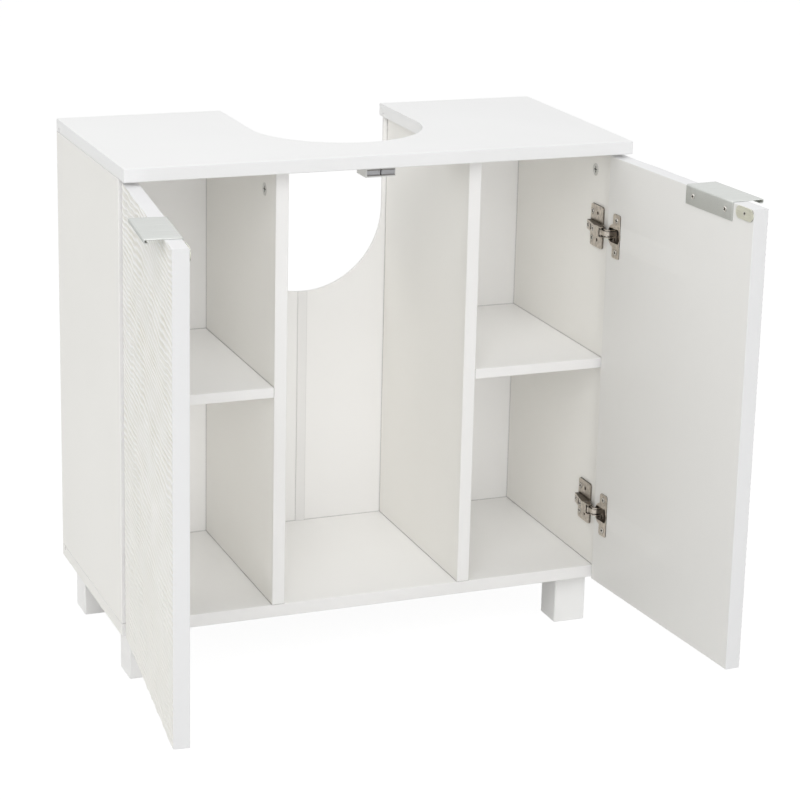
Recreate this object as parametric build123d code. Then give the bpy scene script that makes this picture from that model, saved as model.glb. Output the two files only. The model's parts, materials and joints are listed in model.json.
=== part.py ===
from build123d import *
import os
from math import atan2, cos, degrees, hypot, pi, radians, sin

# Sink base cabinet: open-backed washbasin unit with two carved doors on concealed hinges.
# Frame: X to the right, Y to the back, Z up. The origin is on the floor, on the centre plane,
# in the plane of the closed doors' fronts. The doors are stored open. All sizes in millimetres.

os.makedirs("parts", exist_ok=True)

# ---- carcass ----
unit_width = 600.0
side_depth = 272.0
side_height = 510.0
board = 15.0
shelf_board = 12.0
middle_bay = 215.0
top_overhang = 24.0
edge_break = 0.6

# ---- cut-outs for the basin's trap and pipes ----
cutout_radius = 102.0
top_cut_margin = 73.0
back_cut_drop = 212.0

# ---- back boards ----
back_board = 3.0
back_setback = 11.0
groove_depth = 5.0
groove_fit = 0.1
groove_end_fit = 0.5
strip_flange = 11.0
strip_sheet = 1.0

# ---- feet ----
foot_height = 62.0
foot_size = 40.0
foot_side_inset = 14.0
foot_front_inset = 19.0
foot_rear_inset = 10.0
foot_round = 2.0
stud_radius = 4.0
stud_in_foot = 25.0
stud_in_board = 10.0

# ---- doors ----
door_thickness = 18.0
door_gap = 2.5
door_margin = 1.0
door_lift = 1.0
door_top_gap = 4.0
left_open = 96.1
right_open = 94.3

# ---- carved ripples on the door fronts ----
ripple_pitch = 8.0
ripple_depth = 1.1
ripple_floor = 0.45
ripple_strips = 6
ripple_dip = 5.0
ripple_sway = 3.5
ripple_sway_length = 230.0

# ---- edge handles ----
handle_length = 92.5
handle_from_edge = 39.5
handle_sheet = 1.2
handle_flange = 20.0
handle_reach = 20.0
handle_lip = 5.0
handle_curl = 4.0
handle_screw_pitch = 64.0
handle_screw_drop = 10.0

# ---- strike plates and magnetic catch ----
strike_length = 33.0
strike_height = 14.0
strike_sheet = 1.0
strike_edge_gap = 0.5
strike_top_gap = 0.3
catch_width = 36.0
catch_height = 15.0
catch_depth = 30.0
catch_clearance = 0.3
catch_wall = 1.6
magnet_depth = 12.0
magnet_height = 5.0
pole_sheet = 1.2
pole_proud = 0.6
catch_screw_spacing = 20.0

# ---- concealed hinges: plan positions are measured inward from the side's outer face and
# backward from the carcass front, height from the hinge's middle ----
hinge_inset_low = 88.0
hinge_inset_top = 91.0
axis_in = 8.2
axis_back = -13.9
full_swing = 95.3
cup_radius = 13.0
cup_depth = 11.4
cup_wall = 0.6
cup_flare = 0.5
cup_from_edge = 17.0
cup_fit = 0.05
flange_width = 16.0
flange_height = 52.0
flange_sheet = 1.0
flange_offset = 5.0
flange_round = 3.0
rim_lap = 0.6
mouth_half = 8.5
cup_screw_pitch = 38.0
plate_sheet = 2.4
plate_width = 31.0
plate_height = 50.0
plate_middle = 26.5
plate_round = 3.0
plate_screw_pitch = 32.0
plate_screw_back = 37.0
plate_spare_back = 24.0
spare_hole_radius = 2.2
rail_height = 2.6
rail_width = 6.8
rail_front = 12.0
rail_gap = 0.8
arm_sheet = 1.2
arm_height = 9.4
arm_rear_height = 5.0
arm_rear = 41.5
arm_width = 11.0
nose_width = 13.0
nose_front = -6.0
nose_shoulder = 4.0
arm_shoulder = 10.0
nose_cut = 2.9
crown_front = -1.5
outer_pin_in = 23.0
outer_pin_back = -2.5
inner_pin_in = 26.0
inner_pin_back = -4.0
pin_radius = 1.0
pin_fit = 0.05
eye_radius = 1.9
outer_reach = 7.0
inner_reach = 4.2
outer_strap = 2.2
inner_strap = 1.6
outer_bow = 1.3
outer_run = 9.9
outer_hook = 6.0
outer_dip = 0.75
inner_bow = 1.2
inner_run = 7.4
inner_hook = 8.7
inner_dip = -0.5
cheek_inner = 3.9
cheek_sheet = 1.2
web_from = 2.6
web_length = 3.4
web_sheet = 0.8
inner_half = 2.8
stub_gap = 0.5
stub_radius = 0.9
arm_screw_back = 36.5
arm_slot_back = 26.0
arm_slot_length = 7.0
arm_slot_width = 4.2
side_screw_back = 17.5
seat_room = 0.2
seat_wall = 0.8

# ---- cam locks, bolts, dowels and screws ----
cam_radius = 7.5
cam_depth = 12.0
cam_drop = 30.0
cam_inset = 39.5
cam_fit = 0.05
cam_slot = 7.6
cam_cross = 1.4
cam_cross_depth = 1.5
bolt_radius = 3.0
bolt_head_radius = 3.6
bolt_head = 2.5
bolt_in_top = 10.0
bolt_bore = 3.9
dowel_radius = 4.0
dowel_length = 24.0
shelf_dowel_radius = 3.0
shelf_dowel_length = 18.0
long_screw_radius = 2.4
long_screw_length = 48.0
long_head_radius = 4.6
long_head = 2.6
screw_radius = 1.7
screw_length = 12.0
head_radius = 3.2
head_height = 0.9
machine_radius = 2.0
machine_head_radius = 3.0
machine_head = 1.2
slot_depth = 0.5
slot_width = 0.8

# ---- positions that follow from the sizes above ----
half = unit_width / 2
front = door_thickness + door_gap
rear = front + side_depth
bottom_z = foot_height
side_z = bottom_z + board
top_z = side_z + side_height
unit_height = top_z + board
back_rear = rear - back_setback
back_front = back_rear - back_board
bay_depth = back_front - front
outer_bay = (unit_width - middle_bay) / 2 - 2 * board
divider_in = board + outer_bay
shelf_z = (side_z + top_z - shelf_board) / 2
top_front = front - top_overhang
top_cut_centre = top_front + top_cut_margin + cutout_radius
back_cut_base = top_z - back_cut_drop
door_width = half - 2 * door_margin
door_z = bottom_z + door_lift
door_top = top_z - door_top_gap
door_height = door_top - door_z
door_back = door_thickness
hinge_heights = (door_z + hinge_inset_low, door_top - hinge_inset_top)
handle_start = door_margin + door_width - handle_from_edge - handle_length
handle_screw_z = door_top - handle_screw_drop
strike_in = door_margin + door_width - strike_edge_gap - strike_length / 2
strike_z = door_top - strike_top_gap - strike_height / 2
cup_in = door_margin + cup_from_edge
flange_in = cup_in + flange_offset
arm_low = board + plate_sheet
arm_high = arm_low + arm_height + arm_sheet
rail_top = board + plate_sheet + rail_height
cam_z = top_z - cam_drop
cam_rows = (front + cam_inset, rear - cam_inset)


# ---- general helpers ----
def block(x0, x1, y0, y1, z0, z1):
    """A box between six planes."""
    size = Box(x1 - x0, y1 - y0, z1 - z0, align=(Align.MIN, Align.MIN, Align.MIN))
    return Pos(x0, y0, z0) * size


def panel(x0, x1, y0, y1, z0, z1):
    """A board with its sharp edges broken."""
    body = block(x0, x1, y0, y1, z0, z1)
    return chamfer(body.edges(), edge_break)


def rod(radius, start, length, axis):
    """A cylinder that starts at a point and runs along an axis."""
    base = Plane(origin=start, z_dir=axis)
    return base * Cylinder(radius, length, align=(Align.CENTER, Align.CENTER, Align.MIN))


def flip(shape):
    """The same piece on the other side of the centre plane."""
    return mirror(shape, about=Plane.YZ)


def both(shape):
    """The piece and its twin on the other side."""
    return [shape, flip(shape)]


def save(name, pieces):
    """One named file, from one solid or from a group of separate ones."""
    solids = []
    for piece in pieces if isinstance(pieces, list) else [pieces]:
        solids += list(piece.solids())
    shape = solids[0] if len(solids) == 1 else Compound(children=solids)
    shape.label = name
    export_step(shape, "parts/" + name + ".step")
    print(name, len(solids), "solid(s)")


def cut(body, tools):
    """The body without the tools."""
    for tool in tools:
        body = body - tool
    return body


def screw(start, axis, radius, length, big_radius, big_height):
    """A pan-head screw: shank into the piece from start, head behind it, with a cross recess."""
    back = Vector(*axis) * -1
    head = rod(big_radius, start, big_height, back)
    top = Plane(origin=Vector(*start) + back * big_height, z_dir=back)
    arm_box = Box(big_radius, slot_width, 2 * slot_depth)
    cross = top * arm_box + top * Rot(0, 0, 90) * arm_box
    return rod(radius, start, length, axis) + head - cross


# ---- plan helpers for the left side ----
def spot(inward, back, z=0.0):
    """A plan position on the left side as a point of the frame."""
    return (inward - half, front + back, z)


def turn_about(inward, back, angle, shape):
    """Turns a left-side piece about an upright axis."""
    x, y, z = spot(inward, back)
    return Pos(x, y, 0) * Rot(0, 0, angle) * Pos(-x, -y, 0) * shape


def swing_left(shape):
    """Turns a closed left door's piece to the left door's stored angle."""
    return turn_about(axis_in, axis_back, -left_open, shape)


def swing_right(shape):
    """Turns a closed right door's piece to the right door's stored angle."""
    x, y, z = spot(axis_in, axis_back)
    return Pos(-x, y, 0) * Rot(0, 0, right_open) * Pos(x, -y, 0) * shape


def swing_both(shape):
    """A closed left door's fitting, as the left door's piece and the right door's piece."""
    return swing_left(shape), swing_right(flip(shape))


def reach_points(pin_in, pin_back, reach):
    """Where a link's cup end lies with the door closed, and after the full swing."""
    aim = atan2(pin_back - axis_back, pin_in - axis_in)
    spread = radians(full_swing / 2)
    closed = (axis_in + reach * cos(aim + spread), axis_back + reach * sin(aim + spread))
    opened = (axis_in + reach * cos(aim - spread), axis_back + reach * sin(aim - spread))
    return closed, opened


def link_turn(pin_in, pin_back, reach):
    """The angle that a link turns through during the full swing."""
    closed, opened = reach_points(pin_in, pin_back, reach)
    before = atan2(closed[1] - pin_back, closed[0] - pin_in)
    after = atan2(opened[1] - pin_back, opened[0] - pin_in)
    return (degrees(after - before) + 180) % 360 - 180


outer_closed, outer_open = reach_points(outer_pin_in, outer_pin_back, outer_reach)
inner_closed, inner_open = reach_points(inner_pin_in, inner_pin_back, inner_reach)
outer_turn = link_turn(outer_pin_in, outer_pin_back, outer_reach)
inner_turn = link_turn(inner_pin_in, inner_pin_back, inner_reach)


# ---- carcass boards ----
def back_groove_tool():
    """The slot that takes the back boards in the top, the bottom and the sides."""
    low = back_front - groove_fit
    high = back_rear + groove_fit
    return block(-half + board - groove_depth, half - board + groove_depth, low, high,
                 side_z - groove_depth, top_z + groove_depth)


def through_groove(z0, z1):
    """The part of the slot that runs out at the ends of the top and the bottom."""
    return block(-half, half, back_front - groove_fit, back_rear + groove_fit, z0, z1)


def cam_tools(inward, face):
    """Bores for the cams, their bolts and the top dowel, in one upright of the left half."""
    middle = inward + board / 2
    start = inward if face < 0 else inward + board
    tools = []
    for y in cam_rows:
        tools.append(rod(cam_radius, (start - half, y, cam_z), cam_depth, (-face, 0, 0)))
        tools.append(rod(bolt_bore, (middle - half, y, cam_z), cam_drop, (0, 0, 1)))
    return tools


def upright_fixings(inward):
    """Bores for the top dowel and the two bottom screws of one upright of the left half."""
    x = inward + board / 2 - half
    middle = (front + rear) / 2
    tools = [rod(dowel_radius, (x, middle, top_z - dowel_length / 2), dowel_length, (0, 0, 1))]
    for y in cam_rows:
        tools.append(rod(long_screw_radius, (x, y, bottom_z), long_screw_length, (0, 0, 1)))
    return tools


def shelf_dowels():
    """Dowels from the left shelf into its side panel and its divider."""
    pins = []
    z = shelf_z + shelf_board / 2
    for inward in (board, divider_in):
        for y in cam_rows:
            start = (inward - shelf_dowel_length / 2 - half, y, z)
            pins.append(rod(shelf_dowel_radius, start, shelf_dowel_length, (1, 0, 0)))
    return pins


def hinge_plate_bores():
    """Pilot bores for the wing plates' screws in the left side panel."""
    bores = []
    for z in hinge_heights:
        for side in (-1, 1):
            start = spot(board, plate_screw_back, z + side * plate_screw_pitch / 2)
            bores.append(rod(screw_radius, start, screw_length, (-1, 0, 0)))
    return bores


def left_side():
    """Left side panel."""
    body = panel(-half, board - half, front, rear, side_z, top_z)
    tools = [back_groove_tool()] + cam_tools(0, 1) + upright_fixings(0)
    return cut(body, tools + shelf_dowels() + hinge_plate_bores())


def left_divider():
    """Left upright of the middle bay."""
    body = panel(divider_in - half, divider_in + board - half, front, back_front, side_z, top_z)
    return cut(body, cam_tools(divider_in, -1) + upright_fixings(divider_in) + shelf_dowels())


def left_shelf():
    """Fixed shelf of the left bay."""
    body = panel(board - half, divider_in - half, front, back_front, shelf_z, shelf_z + shelf_board)
    return cut(body, shelf_dowels())


def top_tools():
    """Bores in the top's underside, on both halves."""
    tools = []
    middle = (front + rear) / 2
    for inward in (0, divider_in):
        x = inward + board / 2 - half
        for y in cam_rows:
            tools.append(rod(bolt_radius, (x, y, top_z), bolt_in_top, (0, 0, 1)))
        tools.append(rod(dowel_radius, (x, middle, top_z), dowel_length / 2, (0, 0, 1)))
    mirrored = [flip(tool) for tool in tools]
    return tools + mirrored + catch_screw_bores()


def top_cut():
    """The U-shaped opening, round in front and open to the rear."""
    arc = rod(cutout_radius, (0, top_cut_centre, top_z), board, (0, 0, 1))
    mouth = block(-cutout_radius, cutout_radius, top_cut_centre, rear, top_z, unit_height)
    return arc + mouth


def top():
    """Top panel."""
    body = panel(-half, half, top_front, rear, top_z, unit_height)
    groove = through_groove(top_z, top_z + groove_depth)
    return cut(body, [top_cut(), groove] + top_tools())


def foot_place(front_row):
    """The least X and Y of a left foot."""
    x = foot_side_inset - half
    y = front + foot_front_inset if front_row else rear - foot_rear_inset - foot_size
    return x, y


def bottom():
    """Bottom panel."""
    body = panel(-half, half, front, rear, bottom_z, side_z)
    tools = [through_groove(side_z - groove_depth, side_z)]
    for inward in (0, divider_in):
        x = inward + board / 2 - half
        for y in cam_rows:
            tools += both(rod(long_screw_radius, (x, y, bottom_z), board, (0, 0, 1)))
            tools += both(rod(long_head_radius, (x, y, bottom_z), long_head, (0, 0, 1)))
    for front_row in (True, False):
        tools += both(foot_stud(front_row))
    return cut(body, tools)


def left_back():
    """Left half of the back, with its share of the round-ended opening."""
    x0 = board - groove_depth + groove_end_fit - half
    x1 = -strip_sheet / 2
    z0 = side_z - groove_depth + groove_end_fit
    z1 = top_z + groove_depth - groove_end_fit
    body = block(x0, x1, back_front, back_rear, z0, z1)
    centre_z = back_cut_base + cutout_radius
    arc = rod(cutout_radius, (0, back_front, centre_z), back_board, (0, 1, 0))
    mouth = block(-cutout_radius, cutout_radius, back_front, back_rear, centre_z, z1)
    return cut(body, [arc, mouth])


def back_strip():
    """H-section strip that joins the two backs below the opening."""
    half_flange = strip_flange / 2
    web = block(-strip_sheet / 2, strip_sheet / 2, back_front, back_rear, side_z, back_cut_base)
    fore = block(-half_flange, half_flange, back_front - strip_sheet, back_front, side_z, back_cut_base)
    aft = block(-half_flange, half_flange, back_rear, back_rear + strip_sheet, side_z, back_cut_base)
    return web + fore + aft


# ---- feet ----
def foot_stud(front_row):
    """Threaded stud of a left foot."""
    x, y = foot_place(front_row)
    low = bottom_z - stud_in_foot
    middle = foot_size / 2
    return rod(stud_radius, (x + middle, y + middle, low), stud_in_foot + stud_in_board, (0, 0, 1))


def left_foot(front_row):
    """Square left foot with rounded uprights."""
    x, y = foot_place(front_row)
    body = block(x, x + foot_size, y, y + foot_size, 0, bottom_z)
    body = fillet(body.edges().filter_by(Axis.Z), foot_round)
    body = chamfer(body.faces().sort_by(Axis.Z)[0].edges(), edge_break)
    return body - foot_stud(front_row)


# ---- joining hardware of the carcass ----
def cams(inward, face):
    """Cam locks of one upright of the left half, slotted for the bolts' heads."""
    start = inward if face < 0 else inward + board
    middle = inward + board / 2 - half
    depth = cam_depth - cam_fit
    pieces = []
    for y in cam_rows:
        body = rod(cam_radius - cam_fit, (start - half, y, cam_z), depth, (-face, 0, 0))
        mid_slot = cam_slot / 2
        slot = block(middle - mid_slot, middle + mid_slot, y - mid_slot, y + mid_slot,
                     cam_z - bolt_head, cam_z + cam_radius)
        face_plane = Plane(origin=(start - half, y, cam_z), z_dir=(face, 0, 0))
        bar = Box(cam_radius, cam_cross, 2 * cam_cross_depth)
        cross = face_plane * bar + face_plane * Rot(0, 0, 90) * bar
        pieces.append(body - slot - cross)
    return pieces


def cam_bolts(inward):
    """Bolts from the top panel down into the cams of one upright."""
    x = inward + board / 2 - half
    pieces = []
    for y in cam_rows:
        shank = rod(bolt_radius, (x, y, cam_z), cam_drop + bolt_in_top, (0, 0, 1))
        head = rod(bolt_head_radius, (x, y, cam_z - bolt_head), bolt_head, (0, 0, 1))
        pieces.append(shank + head)
    return pieces


def top_dowels(inward):
    """Dowel between the top and one upright."""
    x = inward + board / 2 - half
    return rod(dowel_radius, (x, (front + rear) / 2, top_z - dowel_length / 2), dowel_length, (0, 0, 1))


def long_screws(inward):
    """Screws from below the bottom panel into one upright."""
    x = inward + board / 2 - half
    pieces = []
    for y in cam_rows:
        shank = rod(long_screw_radius, (x, y, bottom_z), long_screw_length, (0, 0, 1))
        head = rod(long_head_radius, (x, y, bottom_z), long_head, (0, 0, 1))
        recess = block(x - slot_width / 2, x + slot_width / 2, y - long_screw_radius,
                       y + long_screw_radius, bottom_z, bottom_z + slot_depth)
        pieces.append(shank + head - recess)
    return pieces


# ---- magnetic catch under the top's front edge ----
def catch_span():
    """Front and rear of the catch housing, clear of the strike plates on the closed doors."""
    y0 = door_back + strike_sheet + catch_clearance + pole_proud
    return y0, y0 + catch_depth


def catch_cell(side):
    """X limits of one magnet."""
    x0 = catch_wall / 2 if side > 0 else catch_wall - catch_width / 2
    return x0, x0 + catch_width / 2 - 3 * catch_wall / 2


def catch_screw_bores():
    """Screw bores through the housing's rear block into the top."""
    y0, y1 = catch_span()
    y = (y0 + magnet_depth + y1) / 2
    bores = []
    for side in (-1, 1):
        start = (side * catch_screw_spacing / 2, y, top_z - catch_height + head_height)
        bores.append(rod(screw_radius, start, catch_height - head_height + bolt_in_top, (0, 0, 1)))
    return bores


def catch_stack():
    """Heights of the lower pole plates, the magnets and the upper pole plates."""
    low = top_z - catch_height + catch_wall
    mid = low + pole_sheet
    high = mid + magnet_height
    return low, mid, high, high + pole_sheet


def catch_housing():
    """Housing with one wide cell for both magnets, open to the front."""
    y0, y1 = catch_span()
    body = block(-catch_width / 2, catch_width / 2, y0, y1, top_z - catch_height, top_z)
    body = fillet(body.edges().filter_by(Axis.Z), catch_wall)
    low, mid, high, crown = catch_stack()
    inner = catch_width / 2 - catch_wall
    body = body - block(-inner, inner, y0, y0 + magnet_depth, low, crown)
    for side in (-1, 1):
        start = (side * catch_screw_spacing / 2, (y0 + magnet_depth + y1) / 2, top_z - catch_height)
        body = body - rod(head_radius, start, head_height, (0, 0, 1))
    return cut(body, catch_screw_bores())


def catch_magnets():
    """The two magnets."""
    y0, y1 = catch_span()
    low, mid, high, crown = catch_stack()
    pieces = []
    for side in (-1, 1):
        x0, x1 = catch_cell(side)
        pieces.append(block(x0, x1, y0 + pole_proud, y0 + magnet_depth, mid, high))
    return pieces


def catch_poles():
    """Steel plates above and below each magnet, a little proud of the housing."""
    y0, y1 = catch_span()
    low, mid, high, crown = catch_stack()
    pieces = []
    for side in (-1, 1):
        x0, x1 = catch_cell(side)
        for z0, z1 in ((low, mid), (high, crown)):
            pieces.append(block(x0, x1, y0 - pole_proud, y0 + magnet_depth, z0, z1))
    return pieces


def catch_screws():
    """Screws that hold the housing up to the top panel."""
    y0, y1 = catch_span()
    y = (y0 + magnet_depth + y1) / 2
    z = top_z - catch_height + head_height
    pieces = []
    for side in (-1, 1):
        start = (side * catch_screw_spacing / 2, y, z)
        length = catch_height - head_height + bolt_in_top
        pieces.append(screw(start, (0, 0, 1), screw_radius, length, head_radius, head_height))
    return pieces


# ---- doors, drawn closed ----
def ripple_shift(x):
    """How far the ripples have fallen, and swayed, at a distance across the front."""
    fall = -(x + half) * sin(radians(ripple_dip))
    return fall + ripple_sway * sin(2 * pi * x / ripple_sway_length)


def ripple_profile(x):
    """Upright section of a door: flat back, hollows between sharp crests in front."""
    shift = ripple_shift(x)
    reach = door_z - ripple_sway - ripple_pitch
    first = int((reach - shift) // ripple_pitch)
    last = int((door_top + ripple_sway + ripple_pitch - shift) // ripple_pitch) + 1
    slope = (1 - ripple_floor) / 2
    points = []
    for count in range(first, last):
        low = count * ripple_pitch + shift
        points.append((x, 0, low))
        points.append((x, ripple_depth, low + slope * ripple_pitch))
        points.append((x, ripple_depth, low + (slope + ripple_floor) * ripple_pitch))
    low_end = (x, door_back, first * ripple_pitch + shift)
    high_end = (x, door_back, points[-1][2])
    return Face(Wire.make_polygon([Vector(*p) for p in points + [high_end, low_end]], close=True))


def ripple_strip(x0, x1):
    """One strip of a rippled door, in which the ripples run straight."""
    fall = ripple_shift(x1) - ripple_shift(x0)
    section = ripple_profile(x0)
    body = Solid.extrude(section, Vector(x1 - x0, 0, fall))
    return body & block(x0, x1, 0, door_back, door_z, door_top)


def door_blank(x0):
    """A door board with the ripples carved into its front."""
    step = door_width / ripple_strips
    body = ripple_strip(x0, x0 + step)
    for count in range(1, ripple_strips):
        body = body + ripple_strip(x0 + count * step, x0 + (count + 1) * step)
    return body


def cup_tool(z):
    """Bore for a hinge cup in the closed left door."""
    start = spot(cup_in, -door_gap, z)
    return rod(cup_radius + cup_fit, start, cup_depth + cup_fit, (0, -1, 0))


def door_tools():
    """All bores in the back of the closed left door."""
    tools = []
    for z in hinge_heights:
        tools.append(cup_tool(z))
        for side in (-1, 1):
            start = spot(flange_in, -door_gap, z + side * cup_screw_pitch / 2)
            tools.append(rod(screw_radius, start, screw_length, (0, -1, 0)))
    for x in handle_screw_places():
        tools.append(rod(screw_radius, spot(x, -door_gap, handle_screw_z), screw_length, (0, -1, 0)))
    tools.append(rod(screw_radius, spot(strike_in, -door_gap, strike_z), screw_length, (0, -1, 0)))
    return tools


def handle_screw_places():
    """Plan positions of the handle's screws."""
    middle = handle_start + handle_length / 2
    return (middle - handle_screw_pitch / 2, middle + handle_screw_pitch / 2)


def left_door_panel():
    """Closed left door board."""
    return cut(door_blank(door_margin - half), door_tools())


def right_door_panel():
    """Closed right door board: the ripples run on across the pair."""
    return cut(door_blank(door_margin), [flip(tool) for tool in door_tools()])


def handle():
    """Bent sheet over the door's top edge: flange behind, plate above, curled lip in front."""
    y_back = door_back + handle_sheet
    y_lip = -handle_reach
    z_low = door_top - handle_flange
    z_top = door_top + handle_sheet
    z_lip = z_top - handle_lip
    outline = [
        (y_back, z_low),
        (y_back, z_top),
        (y_lip, z_top),
        (y_lip, z_lip),
        (y_lip + handle_curl, z_lip),
        (y_lip + handle_curl, z_lip + handle_sheet),
        (y_lip + handle_sheet, z_lip + handle_sheet),
        (y_lip + handle_sheet, door_top),
        (door_back, door_top),
        (door_back, z_low),
    ]
    x = handle_start - half
    face = Face(Wire.make_polygon([Vector(x, y, z) for y, z in outline], close=True))
    body = Solid.extrude(face, Vector(handle_length, 0, 0))
    for place in handle_screw_places():
        body = body - rod(screw_radius, spot(place, -door_gap + handle_sheet, handle_screw_z),
                          handle_sheet, (0, -1, 0))
    return body


def handle_screws():
    """The two screws of a handle."""
    pieces = []
    for place in handle_screw_places():
        start = spot(place, -door_gap + handle_sheet, handle_screw_z)
        pieces.append(screw(start, (0, -1, 0), screw_radius, screw_length, head_radius, head_height))
    return pieces


def strike():
    """Oval steel plate on the back of a door."""
    plane = Plane(origin=spot(strike_in, -door_gap, strike_z), x_dir=(1, 0, 0), z_dir=(0, 1, 0))
    body = extrude(plane * SlotOverall(strike_length, strike_height), strike_sheet)
    return body - rod(screw_radius, spot(strike_in, -door_gap, strike_z), strike_sheet, (0, 1, 0))


def strike_screw():
    """The strike plate's screw, its thin head clear of the magnets."""
    start = spot(strike_in, strike_sheet - door_gap, strike_z)
    thin = catch_clearance / 2
    head = rod(head_radius, start, thin, (0, 1, 0))
    return head + rod(screw_radius, start, screw_length, (0, -1, 0))


# ---- hinge cup, drawn with the left door closed ----
def cup(z):
    """Pressed cup with its screw flange, and stub pins beside the links' ends."""
    mouth = spot(cup_in, -door_gap, z)
    shell = rod(cup_radius, mouth, cup_depth, (0, -1, 0))
    plane = Plane(origin=spot(flange_in, -door_gap, z), x_dir=(1, 0, 0), z_dir=(0, 1, 0))
    plate = extrude(plane * RectangleRounded(flange_width, flange_height, flange_round), flange_sheet)
    rim = rod(cup_radius + rim_lap, mouth, flange_sheet, (0, 1, 0))
    body = shell + plate + rim
    body = body - rod(cup_radius - cup_wall, mouth, cup_depth - cup_wall, (0, -1, 0)) - cup_mouth(z)
    for side in (-1, 1):
        start = spot(flange_in, flange_sheet - door_gap, z + side * cup_screw_pitch / 2)
        body = body - rod(screw_radius, start, flange_sheet, (0, -1, 0))
    return body + cup_stubs(z)


def cup_mouth(z):
    """Opening in the flange: as wide as the cup, but cut off level above and below."""
    top = spot(cup_in, flange_sheet - door_gap, z)
    hole = rod(cup_radius - cup_wall, top, flange_sheet, (0, -1, 0))
    brim = Plane(origin=top, z_dir=(0, -1, 0)) * Pos(0, 0, cup_flare / 2) * Cone(
        cup_radius - cup_wall + cup_flare, cup_radius - cup_wall, cup_flare)
    reach = cup_radius + rim_lap
    band = block(top[0] - reach, top[0] + reach, top[1] - flange_sheet, top[1], z - mouth_half, z + mouth_half)
    return (hole + brim) & band


def cup_stubs(z):
    """Short pins on the cup's walls, just outside the width of the links."""
    room = rod(cup_radius - cup_wall / 2, spot(cup_in, -door_gap, z), cup_depth, (0, -1, 0))
    clear = cheek_inner + cheek_sheet + stub_gap
    stubs = []
    for inward, back in (outer_closed, inner_closed):
        for side in (-1, 1):
            start = spot(inward, back, z + side * clear)
            stubs.append(rod(stub_radius, start, cup_radius, (0, 0, side)) & room)
    return stubs[0] + stubs[1] + stubs[2] + stubs[3]


def cup_screws():
    """Flange screws of the closed left door's cups."""
    pieces = []
    for z in hinge_heights:
        for side in (-1, 1):
            start = spot(flange_in, flange_sheet - door_gap, z + side * cup_screw_pitch / 2)
            pieces.append(screw(start, (0, -1, 0), screw_radius, screw_length, head_radius, head_height))
    return pieces


# ---- hinge pieces on the left side panel ----
def wing_plate(z):
    """Wing plate with the rail that carries the arm."""
    plane = Plane(origin=spot(board, plate_middle, z), x_dir=(0, 1, 0), z_dir=(1, 0, 0))
    body = extrude(plane * RectangleRounded(plate_width, plate_height, plate_round), plate_sheet)
    x = board - half
    rail = block(x, x + plate_sheet + rail_height, front + rail_front, front + arm_rear - arm_sheet - rail_gap,
                 z - rail_width / 2, z + rail_width / 2)
    body = body + rail
    for side in (-1, 1):
        height = z + side * plate_screw_pitch / 2
        body = body - rod(screw_radius, spot(board, plate_screw_back, height), plate_sheet, (1, 0, 0))
        body = body - rod(spare_hole_radius, spot(board, plate_spare_back, height), plate_sheet, (1, 0, 0))
    for back in (arm_screw_back, side_screw_back):
        body = body - rod(machine_radius, spot(board, back, z), plate_sheet + rail_height, (1, 0, 0))
    return body


def arm_outline(width, nose, front_end, grow):
    """Plan of the arm as seen from the door side: wide behind, narrow at the nose."""
    points = [
        (front_end, nose / 2),
        (nose_shoulder, nose / 2),
        (arm_shoulder, width / 2),
        (arm_rear - grow, width / 2),
        (arm_rear - grow, -width / 2),
        (arm_shoulder, -width / 2),
        (nose_shoulder, -nose / 2),
        (front_end, -nose / 2),
    ]
    return points


def arm_prism(points, z, low, high):
    """A prism on the side panel's face, from one height above it to another."""
    corners = [Vector(low - half, front + back, z + up) for back, up in points]
    return Solid.extrude(Face(Wire.make_polygon(corners, close=True)), Vector(high - low, 0, 0))


def crown_at(back):
    """Height of the arm's crown over the board's outer face at a distance behind the carcass front."""
    share = max(0.0, (back - arm_shoulder) / (arm_rear - arm_shoulder))
    return arm_high - share * (arm_high - arm_low - arm_rear_height)


def arm_wedge(z, grow):
    """Side view of the arm, carried past its width: level at the nose, falling to the rear."""
    rear_end = arm_rear - grow
    corners = [(arm_low, nose_front), (arm_high - grow, nose_front), (arm_high - grow, arm_shoulder),
               (crown_at(rear_end) - grow, rear_end), (arm_low, rear_end)]
    side_view = [Vector(*spot(inward, back, z - nose_width)) for inward, back in corners]
    return Solid.extrude(Face(Wire.make_polygon(side_view, close=True)), Vector(0, 0, 2 * nose_width))


def screw_seat(back):
    """Height of the flat seat under a screw head in the sloping crown."""
    return crown_at(back + machine_head_radius + seat_room) - seat_room


def arm(z):
    """Channel-section arm with its nose for the links' pins and seats for its screws."""
    body = arm_prism(arm_outline(arm_width, nose_width, nose_front, 0), z, arm_low, arm_high) & arm_wedge(z, 0)
    inner = arm_outline(arm_width - 2 * arm_sheet, nose_width - 2 * arm_sheet, nose_front, arm_sheet)
    body = body - (arm_prism(inner, z, arm_low, arm_high - arm_sheet) & arm_wedge(z, arm_sheet))
    for back in (arm_screw_back, side_screw_back):
        seat = screw_seat(back)
        room = machine_head_radius + seat_room
        body = body + rod(room + seat_wall, spot(seat - arm_sheet, back, z), arm_sheet, (1, 0, 0))
        body = body - rod(room, spot(seat, back, z), arm_high, (1, 0, 0))
    span = nose_width
    x_top = arm_high - arm_sheet - half
    crown = block(x_top, arm_high - half, front + nose_front, front + crown_front,
                  z - nose_width / 2 + arm_sheet, z + nose_width / 2 - arm_sheet)
    keel = block(arm_low - half, arm_low + nose_cut + arm_sheet - half, front + nose_front,
                 front + nose_shoulder, z - span, z + span)
    body = body - crown - keel
    for inward, back in ((outer_pin_in, outer_pin_back), (inner_pin_in, inner_pin_back)):
        body = body - rod(pin_radius, spot(inward, back, z - span), 2 * span, (0, 0, 1))
    for back in (arm_screw_back, side_screw_back):
        body = body - rod(machine_radius, spot(screw_seat(back) - arm_sheet, back, z), arm_sheet, (1, 0, 0))
    return body - arm_slot(z)


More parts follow.
